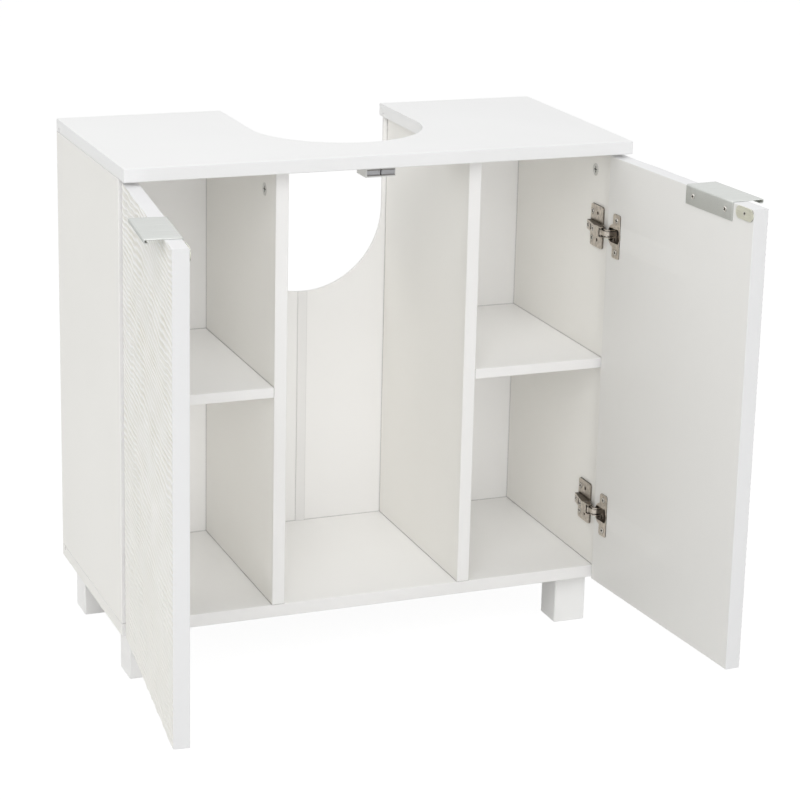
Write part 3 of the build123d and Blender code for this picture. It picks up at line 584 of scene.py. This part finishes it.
def attribute(tree, name):
    """The value of a mesh's own attribute."""
    node = tree.nodes.new("ShaderNodeAttribute")
    node.attribute_name = name
    return node.outputs["Fac"]


def shade(colour, share):
    """A colour made darker or lighter by a share."""
    return tuple(min(1.0, c * share) for c in colour)


# ---------------------------------------------------------------- shader groups

# The skin's broad and slow noises, in features per metre, and the broad one's share of the relief.
BROAD_SCALE = 38.0
BROAD_SHARE = 0.8
SLOW_SCALE = 5.5
FINE_DETAIL = 4.0
FINE_ROUGHNESS = 0.6
PLAIN_DETAIL = 2.0


def make_group(name, inputs, outputs):
    """An empty shader group with named number or vector sockets."""
    tree = bpy.data.node_groups.new(name, "ShaderNodeTree")
    for label, value in inputs.items():
        kind = "NodeSocketVector" if isinstance(value, tuple) else "NodeSocketFloat"
        socket = tree.interface.new_socket(name=label, in_out="INPUT", socket_type=kind)
        socket.default_value = value
    for label, kind in outputs.items():
        tree.interface.new_socket(name=label, in_out="OUTPUT", socket_type=kind)
    return tree, tree.nodes.new("NodeGroupInput").outputs, tree.nodes.new("NodeGroupOutput").inputs


def surface_skin():
    """Fine relief of a coated surface: its softened edges, a small all-over grain and a slow unevenness.
    Height is the fine noise plus a share of a coarser one; Mottle is the slow noise around zero."""
    tree, given, result = make_group(
        "surface_skin",
        {"Grain Size": 900.0, "Relief": 0.00002, "Edge Radius": 0.0004},
        {"Normal": "NodeSocketVector", "Mottle": "NodeSocketFloat", "Grain": "NodeSocketFloat"})
    spot = object_place(tree)
    fine = noise(tree, spot, given["Grain Size"], FINE_DETAIL, FINE_ROUGHNESS)
    broad = noise(tree, spot, BROAD_SCALE, PLAIN_DETAIL)
    slow = noise(tree, spot, SLOW_SCALE, PLAIN_DETAIL)
    height = math_node(tree, "ADD", fine, math_node(tree, "MULTIPLY", broad, BROAD_SHARE))
    edge = rounded_normal(tree, given["Edge Radius"])
    feed(tree, result["Normal"], bump(tree, height, given["Relief"], edge))
    feed(tree, result["Mottle"], math_node(tree, "SUBTRACT", slow, 0.5))
    feed(tree, result["Grain"], fine)
    return tree


def edge_mask():
    """A mask that is 1 on edges, which a coat wears paler and which metal gets a painted highlight on: one
    minus the dot product of the shading normal and the normal rounded over a small radius, scaled up."""
    tree, given, result = make_group(
        "edge_mask", {"Radius": 0.0006, "Strength": 6.0}, {"Mask": "NodeSocketFloat"})
    dot = tree.nodes.new("ShaderNodeVectorMath")
    dot.operation = "DOT_PRODUCT"
    feed(tree, dot.inputs[0], rounded_normal(tree, given["Radius"]))
    feed(tree, dot.inputs[1], tree.nodes.new("ShaderNodeNewGeometry").outputs["Normal"])
    away = math_node(tree, "SUBTRACT", 1.0, dot.outputs["Value"])
    feed(tree, result["Mask"], math_node(tree, "MULTIPLY", away, given["Strength"], clamp=True))
    return tree


def recess_mask():
    """A mask that is 0 deep in corners and recesses and 1 in the open: the share of short rays that leave
    the surface unblocked, raised to a power."""
    tree, given, result = make_group(
        "recess_mask", {"Distance": 0.006, "Power": 1.5}, {"Open": "NodeSocketFloat"})
    near = tree.nodes.new("ShaderNodeAmbientOcclusion")
    near.samples = RECESS_SAMPLES
    feed(tree, near.inputs["Distance"], given["Distance"])
    feed(tree, result["Open"], math_node(tree, "POWER", near.outputs["AO"], given["Power"]))
    return tree


def drawn_lines():
    """Fine parallel lines of rolled or brushed metal: a noise squeezed across one axis."""
    tree, given, result = make_group(
        "drawn_lines",
        {"Stretch": (40.0, 40.0, 2600.0), "Relief": 0.000004, "Edge Radius": 0.0003},
        {"Streak": "NodeSocketFloat", "Normal": "NodeSocketVector"})
    scaled = tree.nodes.new("ShaderNodeVectorMath")
    scaled.operation = "MULTIPLY"
    feed(tree, scaled.inputs[0], object_place(tree))
    feed(tree, scaled.inputs[1], given["Stretch"])
    streak = noise(tree, scaled.outputs["Vector"], 1.0, FINE_DETAIL, FINE_ROUGHNESS)
    edge = rounded_normal(tree, given["Edge Radius"])
    feed(tree, result["Streak"], streak)
    feed(tree, result["Normal"], bump(tree, streak, given["Relief"], edge))
    return tree


SKIN, EDGE, LINES, RECESS = surface_skin(), edge_mask(), drawn_lines(), recess_mask()


def use_group(tree, group, **values):
    """A group placed in a material with its own values."""
    node = tree.nodes.new("ShaderNodeGroup")
    node.node_tree = group
    for label, value in values.items():
        node.inputs[label.replace("_", " ")].default_value = value
    return node.outputs


# ---------------------------------------------------------------- materials

# A coated and a metal surface: the radius over which edges are marked, as a factor of their rounding, how
# strongly, how much lighter they get, worn paler on a coat and with a painted highlight on metal, and how
# the roughness changes from low to high noise.
COAT_WEAR, COAT_WEAR_STRENGTH, COAT_PALER = 1.6, 4.0, 1.02
METAL_GLINT_RADIUS, METAL_GLINT_STRENGTH, METAL_GLINT_PALER = 1.5, 5.0, 1.25
COAT_SMOOTHER, COAT_ROUGHER = 0.04, 0.05
METAL_ROUGHER, METAL_SMOOTHER = 0.06, 0.04
BEECH_ROUGH = (0.62, 0.5)
CLEAR_COAT_ROUGH = 0.25

# How far the mottle moves a colour, and which part of a noise's range is stretched to the full.
MOTTLE_SWING = 0.012
MOTTLE_RANGE = (-0.25, 0.25)
NOISE_RANGE = (0.3, 0.7)

# Boards: the painted light on upright faces, the edges' rounding, and reach, power and darkness of the
# painted shade in joints.
UPRIGHT_LIGHT = (1.0, 1.0, 1.0)
BOARD_RADIUS = 0.0005
JOINT_REACH, JOINT_POWER, JOINT_SHADE = 0.0014, 1.5, 0.48

# How sharply the painted shade on metal ends where it leaves a corner.
SUNK_POWER = 3.0

# The painted shade in the carved fronts' hollows: how it grows with depth, how patchy it is, and how it
# calms down lower.
HOLLOW_SHADE_POWER = 0.7
HOLLOW_SHADE_MIDDLE = 0.60
HOLLOW_SHADE_LEVEL = 0.36
PATCH_SCALE = 14.0
PATCH_SWING = 0.9
PATCH_LEVEL = 0.5
CALM_HEIGHTS = (0.13, 0.38)
CALM_SHARE = 0.25
CARVED_RELIEF = 0.0004


def blank(name):
    """A new material with nodes."""
    material = bpy.data.materials.new(name)
    material.use_nodes = True
    return material


def shader_of(material):
    """A material's node tree and its Principled BSDF's inputs."""
    return material.node_tree, material.node_tree.nodes["Principled BSDF"].inputs


def source_of(socket):
    """What feeds an input."""
    return socket.links[0].from_socket


def coated(name, colour, rough, grain, relief, radius, coat=0.0):
    """Lacquer, melamine or moulded plastic: a near-even colour with a slow mottle, a fine grain in the
    relief and the roughness, and slightly paler edges."""
    material = blank(name)
    tree, shader = shader_of(material)
    skin = use_group(tree, SKIN, Grain_Size=grain, Relief=relief, Edge_Radius=radius)
    rim = use_group(tree, EDGE, Radius=radius * COAT_WEAR, Strength=COAT_WEAR_STRENGTH)
    mottle = span_value(tree, skin["Mottle"], *MOTTLE_RANGE)
    base = mix_colour(tree, mottle, shade(colour, 1 - MOTTLE_SWING), shade(colour, 1 + MOTTLE_SWING))
    feed(tree, shader["Base Color"], mix_colour(tree, rim["Mask"], base, shade(colour, COAT_PALER)))
    gloss = span_value(tree, skin["Grain"], *NOISE_RANGE, rough - COAT_SMOOTHER, rough + COAT_ROUGHER)
    feed(tree, shader["Roughness"], gloss)
    feed(tree, shader["Normal"], skin["Normal"])
    shader["Coat Weight"].default_value = coat
    shader["Coat Roughness"].default_value = CLEAR_COAT_ROUGH
    return material


def carved(name, narrow, inner, crest, hollow):
    """Satin lacquer on the doors: the coated finish on the narrow edges, a plain tone on the flat inner
    face, and painted light and shade on the carved front: a pale crest, painted lighter than the edges as
    light, that passes into a darker, warmer painted shade down in the hollows, by the carving's depth
    raised to a power. The painted shade is patchy above and nearly even on the lower part: it is the patchy
    shade less a middle value, times a share that grows with height, plus a level."""
    material = coated(name, narrow, rough=0.36, grain=700.0, relief=0.000006, radius=0.0004, coat=0.08)
    tree, shader = shader_of(material)
    spot = object_place(tree)
    valley = attribute(tree, "valley")
    swing = math_node(tree, "MULTIPLY", noise(tree, spot, PATCH_SCALE, PLAIN_DETAIL), PATCH_SWING)
    patch = math_node(tree, "ADD", swing, PATCH_LEVEL)
    painted_shade = math_node(tree, "MULTIPLY", math_node(tree, "POWER", valley, HOLLOW_SHADE_POWER), patch)
    upper = span_value(tree, parts_of(tree, spot)["Z"], *CALM_HEIGHTS, CALM_SHARE, 1.0)
    painted_shade = math_node(tree, "MULTIPLY", math_node(tree, "SUBTRACT", painted_shade, HOLLOW_SHADE_MIDDLE), upper)
    painted_shade = math_node(tree, "ADD", painted_shade, HOLLOW_SHADE_LEVEL, clamp=True)
    # Painted light and shade: crest is a pale tone painted on the crests as light, and hollow is a darker,
    # warmer tone painted in the hollows as shade.
    ripple = mix_colour(tree, painted_shade, crest, hollow)
    plain = mix_colour(tree, attribute(tree, "inside"), source_of(shader["Base Color"]), inner)
    feed(tree, shader["Base Color"], mix_colour(tree, attribute(tree, "front"), plain, ripple))
    height = math_node(tree, "MULTIPLY", valley, -1.0)
    feed(tree, shader["Normal"], bump(tree, height, CARVED_RELIEF, source_of(shader["Normal"])))
    return material


def boards(name, face, level, forward, rough, grain, relief):
    """Faced board: painted light by facing, which multiplies the face colour on the level faces and on the
    edge band that looks forwards, and painted shade, a fine dark line in every corner closer than a reach,
    which draws the joints where boards meet."""
    material = coated(name, face, rough, grain, relief, BOARD_RADIUS)
    tree, shader = shader_of(material)
    facing = face_direction(tree)
    flatness = math_node(tree, "ABSOLUTE", facing["Z"])
    forwards = math_node(tree, "MULTIPLY", facing["Y"], -1.0, clamp=True)
    # Painted light: the face colour is multiplied by the way each face looks, up or down and forwards.
    facing_light = mix_colour(tree, forwards, mix_colour(tree, flatness, UPRIGHT_LIGHT, level), forward)
    facing_lit = mix_colour(tree, 1.0, source_of(shader["Base Color"]), facing_light, blend="MULTIPLY")
    # Painted shade: every corner closer than the joint reach darkens towards the joint shade, which also
    # draws the joints between boards.
    open_share = use_group(tree, RECESS, Distance=JOINT_REACH, Power=JOINT_POWER)["Open"]
    feed(tree, shader["Base Color"], mix_colour(tree, open_share, shade(face, JOINT_SHADE), facing_lit))
    return material


def metal(name, colour, rough, stretch, radius, relief=0.000004, tarnish=0.86):
    """Plated, rolled or anodised metal: streaks along one axis, darker where they are low, and a painted
    highlight that makes the edges brighter."""
    material = blank(name)
    tree, shader = shader_of(material)
    lines = use_group(tree, LINES, Stretch=stretch, Relief=relief, Edge_Radius=radius)
    rim = use_group(tree, EDGE, Radius=radius * METAL_GLINT_RADIUS, Strength=METAL_GLINT_STRENGTH)
    base = mix_colour(tree, span_value(tree, lines["Streak"], *NOISE_RANGE), shade(colour, tarnish), colour)
    # Painted highlight: the edges are painted paler than the metal.
    feed(tree, shader["Base Color"], mix_colour(tree, rim["Mask"], base, shade(colour, METAL_GLINT_PALER)))
    gloss = span_value(tree, lines["Streak"], *NOISE_RANGE, rough + METAL_ROUGHER, rough - METAL_SMOOTHER)
    feed(tree, shader["Roughness"], gloss)
    feed(tree, shader["Normal"], lines["Normal"])
    shader["Metallic"].default_value = 1.0
    return material


def darkened(material, deep, reach, upward=0.0):
    """A metal with painted shade, a dark colour where it is sunk: in corners closer than a reach, in a
    screw's marked recess and, by a share, on the faces that look up."""
    tree, shader = shader_of(material)
    open_share = use_group(tree, RECESS, Distance=reach, Power=SUNK_POWER)["Open"]
    painted_shade = math_node(tree, "SUBTRACT", 1.0, open_share)
    painted_shade = math_node(tree, "MAXIMUM", painted_shade, attribute(tree, "recess"))
    if upward:
        topside_shade = math_node(tree, "MULTIPLY", face_direction(tree)["Z"], upward, clamp=True)
        painted_shade = math_node(tree, "MAXIMUM", painted_shade, topside_shade)
    # Painted shade: the deep colour where the metal is sunk, in a screw's recess, and on the faces that
    # look up.
    feed(tree, shader["Base Color"], mix_colour(tree, painted_shade, source_of(shader["Base Color"]), deep))
    return material


def beech(name, dark, light):
    """Plain beech: fine streaks along the dowel with short dark flecks."""
    material = blank(name)
    tree, shader = shader_of(material)
    lines = use_group(tree, LINES, Stretch=(300.0, 900.0, 60.0), Relief=0.00004, Edge_Radius=0.0003)
    grain = span_value(tree, lines["Streak"], *NOISE_RANGE)
    feed(tree, shader["Base Color"], mix_colour(tree, grain, dark, light))
    feed(tree, shader["Roughness"], span_value(tree, lines["Streak"], *NOISE_RANGE, *BEECH_ROUGH))
    feed(tree, shader["Normal"], lines["Normal"])
    return material


# Colours are linear red, green and blue. A board's level and forward are painted light, which multiplies
# its face colour. Grain and stretch are a noise's features per metre, and relief, radius and reach are in
# metres.
FINISH = {
    # The warm face colour and the level and forward multipliers are painted light by facing: upright faces
    # warm, level faces and forward edges paler and cooler.
    "carcass_white": boards(
        "melamine_board", face=(0.925, 0.912, 0.875), level=(1.035, 1.043, 1.07),
        forward=(1.055, 1.06, 1.095), rough=0.42, grain=1500.0, relief=0.00001),
    # A darker, neutral copy of the carcass melamine for the top board: painted shade against the strong
    # light on top.
    "top_white": boards(
        "top_board", face=(0.922, 0.922, 0.918), level=(1.0, 1.0, 1.0),
        forward=(1.005, 1.005, 1.012), rough=0.42, grain=1500.0, relief=0.00001),
    "back_white": boards(
        "faced_hardboard", face=(0.925, 0.917, 0.905), level=(1.0, 1.0, 1.0),
        forward=(1.01, 1.01, 1.01), rough=0.55, grain=1100.0, relief=0.000018),
    # The carved front's crest colour is painted light and its hollow colour is painted shade.
    "door_lacquer": carved(
        "satin_lacquer", narrow=(0.862, 0.862, 0.868), inner=(0.855, 0.848, 0.826),
        crest=(1.0, 0.995, 0.98), hollow=(0.72, 0.695, 0.59)),
    "foot_white": coated(
        "painted_foot", (0.985, 0.98, 0.97), rough=0.4, grain=600.0, relief=0.00001, radius=0.0007),
    "strip_white": coated(
        "joint_strip_plastic", (0.88, 0.872, 0.862), rough=0.38, grain=500.0, relief=0.000006,
        radius=0.0003),
    "catch_white": coated(
        "catch_plastic", (0.84, 0.84, 0.83), rough=0.34, grain=800.0, relief=0.000008,
        radius=0.0004, coat=0.1),
    "magnet_black": coated(
        "sintered_magnet", (0.56, 0.56, 0.585), rough=0.5, grain=2500.0, relief=0.00003, radius=0.0002),
    "handle_aluminium": metal(
        "satin_aluminium", (0.655, 0.67, 0.65), rough=0.46, stretch=(30.0, 1400.0, 1400.0), radius=0.0004),
    "pole_steel": metal(
        "pole_plate_steel", (0.30, 0.29, 0.28), rough=0.36, stretch=(60.0, 900.0, 900.0), radius=0.0002),
    # The deep colours of these metals are painted shade in corners and recesses, and on the hinge's faces
    # that look up.
    "hinge_nickel": darkened(
        metal("nickel_plate", (0.80, 0.73, 0.65), rough=0.33, stretch=(380.0, 380.0, 300.0), radius=0.0004,
              tarnish=0.62),
        deep=(0.045, 0.032, 0.02), reach=0.003, upward=0.8),
    "screw_steel": darkened(
        metal("zinc_screw", (0.86, 0.83, 0.78), rough=0.3, stretch=(500.0, 500.0, 500.0), radius=0.0003),
        deep=(0.03, 0.022, 0.015), reach=0.002),
    "strike_steel": darkened(
        metal("strike_plate_steel", (0.84, 0.84, 0.73), rough=0.4, stretch=(900.0, 60.0, 900.0),
              radius=0.0003),
        deep=(0.05, 0.05, 0.045), reach=0.002),
    "cam_zinc": darkened(
        metal("cast_zinc", (0.78, 0.775, 0.75), rough=0.42, stretch=(420.0, 420.0, 420.0), radius=0.0003,
              relief=0.00002),
        deep=(0.05, 0.045, 0.04), reach=0.002),
    "dowel_beech": beech("beech_dowel", dark=(0.42, 0.25, 0.13), light=(0.62, 0.43, 0.26)),
}


# ---------------------------------------------------------------- dressing the frame

def dress(obj, slot):
    """Gives an object the finish of a material slot."""
    if obj.data.materials:
        for entry in obj.material_slots:
            entry.material = FINISH[slot]
    else:
        obj.data.materials.append(FINISH[slot])


def add(piece, body, slot, *stands_for):
    """A new piece on its body, in its finish, in place of the nodes that it stands for."""
    dress(piece, slot)
    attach(piece, body)
    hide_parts(*stands_for)


for row in frame["record"]["subparts"]:
    # The top panel takes the darker copy of the melamine, painted shade for the light on top.
    dress(nodes[row["node"]], "top_white" if row["node"] == "top_panel" else row["material_slot"])

for side in ("left", "right"):
    body = side + "_door"
    add(door(side), body, "door_lacquer", side + "_door_panel")
    add(handle(side), body, "handle_aluminium", side + "_handle")
    inward = np.array(stored_turn(side))[:3, :3] @ np.array([0, 1.0, 0])
    for label in ("handle_screws", "cup_screws", "strike_screw"):
        node = side + "_" + label
        add(screws(node + "_pan", node, lambda middle: inward), body, "screw_steel", node)
for node in ("hinge_arm_screws", "wing_plate_screws"):
    piece = screws(node + "_pan", node, lambda middle: (-np.sign(middle[0]), 0, 0))
    add(piece, "cabinet", "screw_steel", node)


# ---------------------------------------------------------------- floor, light and camera

FLOOR_HALF = 14.0
FLOOR_LIT = (0.9, 0.9, 0.89)
FLOOR_SHOWN = (0.14, 0.14, 0.14)
FLOOR_GLOW = 0.93
SKY_COLOUR = (0.995, 0.998, 1.0)
SKY_LEVEL = 0.5

# Studio lights: place, side of the square and power in watts. All face a point near the object's middle.
AIM = (0, 0.1, 0.3)
STUDIO = {
    "key": ((-1.2, -2.6, 2.6), 2.2, 46),
    "overhead": ((0.4, 0.3, 3.2), 2.6, 15),
    "right": ((2.6, -2.0, 0.9), 1.8, 8),
    "left": ((-2.4, 0.6, 1.7), 1.8, 12),
}

# Bay lights: a light in a bay's opening has a middle in x and z, a width, a height and a radiance. The
# four outer bays have a second light, under the ceiling.
OUTER_X, OUTER_WIDTH, OUTER_HEIGHT = 0.196, 0.165, 0.22
UPPER_Z, LOWER_Z = 0.467, 0.212
BAYS = {
    "left_upper": (-OUTER_X, UPPER_Z, 0.28),
    "left_lower": (-OUTER_X, LOWER_Z, 0.68),
    "right_upper": (OUTER_X, UPPER_Z, 0.39),
    "right_lower": (OUTER_X, LOWER_Z, 0.5),
}
MIDDLE_Z, MIDDLE_WIDTH, MIDDLE_HEIGHT, MIDDLE_LEVEL = 0.33, 0.205, 0.48, 0.2
OPENING_Y = 0.024
OPENING_SPREAD = 95
CEILING_ABOVE, CEILING_FRONT, CEILING_DEPTH = 0.115, 0.026, 0.25
CEILING_SPREAD, CEILING_LEVEL = 110, 0.19

# The camera: its place, its heading from straight back, its tilt and its roll in degrees, and the lens,
# from the focal length and the optical middle in pixels of a square picture.
PICTURE = 800
SENSOR = 36.0
CAMERA_PLACE = (-0.96975, -2.48357, 1.14806)
CAMERA_HEADING, CAMERA_TILT, CAMERA_ROLL = -22.7535, -15.7956, 1.6293
FOCAL_PIXELS = 2463.3
MIDDLE_PIXEL = (442.88, 337.38)


def floor():
    """A plain pale floor. To the camera it is near white and keeps the shadow, and to all other rays it is
    a pale diffuse plane."""
    size = FLOOR_HALF
    points = np.array([(-size, -size, 0), (size, -size, 0), (size, size, 0), (-size, size, 0)], float)
    obj = new_piece("floor", points, [(0, 1, 2, 3)])
    material = blank("floor_white")
    tree = material.node_tree
    tree.nodes.remove(tree.nodes["Principled BSDF"])
    plain = tree.nodes.new("ShaderNodeBsdfDiffuse")
    feed(tree, plain.inputs["Color"], FLOOR_LIT)
    shown = tree.nodes.new("ShaderNodeBsdfDiffuse")
    feed(tree, shown.inputs["Color"], FLOOR_SHOWN)
    glow = tree.nodes.new("ShaderNodeEmission")
    feed(tree, glow.inputs["Strength"], FLOOR_GLOW)
    both = tree.nodes.new("ShaderNodeAddShader")
    feed(tree, both.inputs[0], shown.outputs[0])
    feed(tree, both.inputs[1], glow.outputs[0])
    mix = tree.nodes.new("ShaderNodeMixShader")
    feed(tree, mix.inputs[0], tree.nodes.new("ShaderNodeLightPath").outputs["Is Camera Ray"])
    feed(tree, mix.inputs[1], plain.outputs[0])
    feed(tree, mix.inputs[2], both.outputs[0])
    feed(tree, tree.nodes["Material Output"].inputs["Surface"], mix.outputs[0])
    obj.data.materials.append(material)


def world():
    """White to the camera and to glossy and transmitted rays, and a soft grey light to everything else."""
    sky = bpy.data.worlds.new("studio")
    bpy.context.scene.world = sky
    sky.use_nodes = True
    tree = sky.node_tree
    tree.nodes.clear()
    seen = tree.nodes.new("ShaderNodeBackground")
    feed(tree, seen.inputs["Color"], (1.0, 1.0, 1.0))
    light = tree.nodes.new("ShaderNodeBackground")
    feed(tree, light.inputs["Color"], SKY_COLOUR)
    feed(tree, light.inputs["Strength"], SKY_LEVEL)
    path = tree.nodes.new("ShaderNodeLightPath").outputs
    either = math_node(tree, "MAXIMUM", path["Is Camera Ray"], path["Is Transmission Ray"])
    either = math_node(tree, "MAXIMUM", either, path["Is Glossy Ray"])
    mix = tree.nodes.new("ShaderNodeMixShader")
    feed(tree, mix.inputs[0], either)
    feed(tree, mix.inputs[1], light.outputs[0])
    feed(tree, mix.inputs[2], seen.outputs[0])
    feed(tree, tree.nodes.new("ShaderNodeOutputWorld").inputs["Surface"], mix.outputs[0])


def studio_light(name, place, size, power):
    """A square soft light that faces a point near the object's middle."""
    data = bpy.data.lights.new(name, "AREA")
    data.size = size
    data.energy = power
    obj = bpy.data.objects.new(name, data)
    obj.location = place
    obj.rotation_euler = (Vector(AIM) - Vector(place)).to_track_quat("-Z", "Y").to_euler()
    bpy.context.scene.collection.objects.link(obj)


def panel_light(name, place, tilt, size, spread, radiance):
    """A soft rectangle that the camera and reflections don't see. It shines down, or tilted by 90 degrees
    it shines back. Its power is its radiance times its area times pi."""
    data = bpy.data.lights.new(name, "AREA")
    data.shape = "RECTANGLE"
    data.size, data.size_y = size
    data.energy = radiance * size[0] * size[1] * math.pi
    data.spread = math.radians(spread)
    obj = bpy.data.objects.new(name, data)
    obj.location = place
    obj.rotation_euler = (math.radians(tilt), 0, 0)
    obj.visible_camera = False
    obj.visible_glossy = False
    bpy.context.scene.collection.objects.link(obj)


def opening_light(name, x, z, width, height, radiance):
    """A light just inside the opening of one bay, that shines into the bay behind it. Its narrow spread
    keeps it off the first stretch of the side walls, which the room already lights."""
    panel_light(name, (x, OPENING_Y, z), 90, (width, height), OPENING_SPREAD, radiance)


def lights():
    """The studio lights, one light in each bay's opening and one under each outer bay's ceiling."""
    for name, (place, size, power) in STUDIO.items():
        studio_light(name, place, size, power)
    for name, (x, z, radiance) in BAYS.items():
        opening_light(name, x, z, OUTER_WIDTH, OUTER_HEIGHT, radiance)
        place = (x, CEILING_FRONT + CEILING_DEPTH / 2, z + CEILING_ABOVE)
        size = (OUTER_WIDTH, CEILING_DEPTH)
        panel_light(name + "_ceiling", place, 0, size, CEILING_SPREAD, CEILING_LEVEL)
    opening_light("middle", 0, MIDDLE_Z, MIDDLE_WIDTH, MIDDLE_HEIGHT, MIDDLE_LEVEL)


def camera():
    """The photograph's viewpoint: a long lens from the front left, above."""
    data = bpy.data.cameras.new("camera")
    data.sensor_width = SENSOR
    data.lens = FOCAL_PIXELS / PICTURE * SENSOR
    data.shift_x = (PICTURE / 2 - MIDDLE_PIXEL[0]) / PICTURE
    data.shift_y = (MIDDLE_PIXEL[1] - PICTURE / 2) / PICTURE
    obj = bpy.data.objects.new("camera", data)
    heading = Matrix.Rotation(math.radians(CAMERA_HEADING), 4, "Z")
    tilt = Matrix.Rotation(math.radians(90 + CAMERA_TILT), 4, "X")
    roll = Matrix.Rotation(math.radians(CAMERA_ROLL), 4, "Z")
    obj.matrix_world = Matrix.Translation(CAMERA_PLACE) @ heading @ tilt @ roll
    bpy.context.scene.collection.objects.link(obj)
    bpy.context.scene.camera = obj


floor()
world()
lights()
camera()
bpy.context.scene.view_settings.view_transform = "Standard"
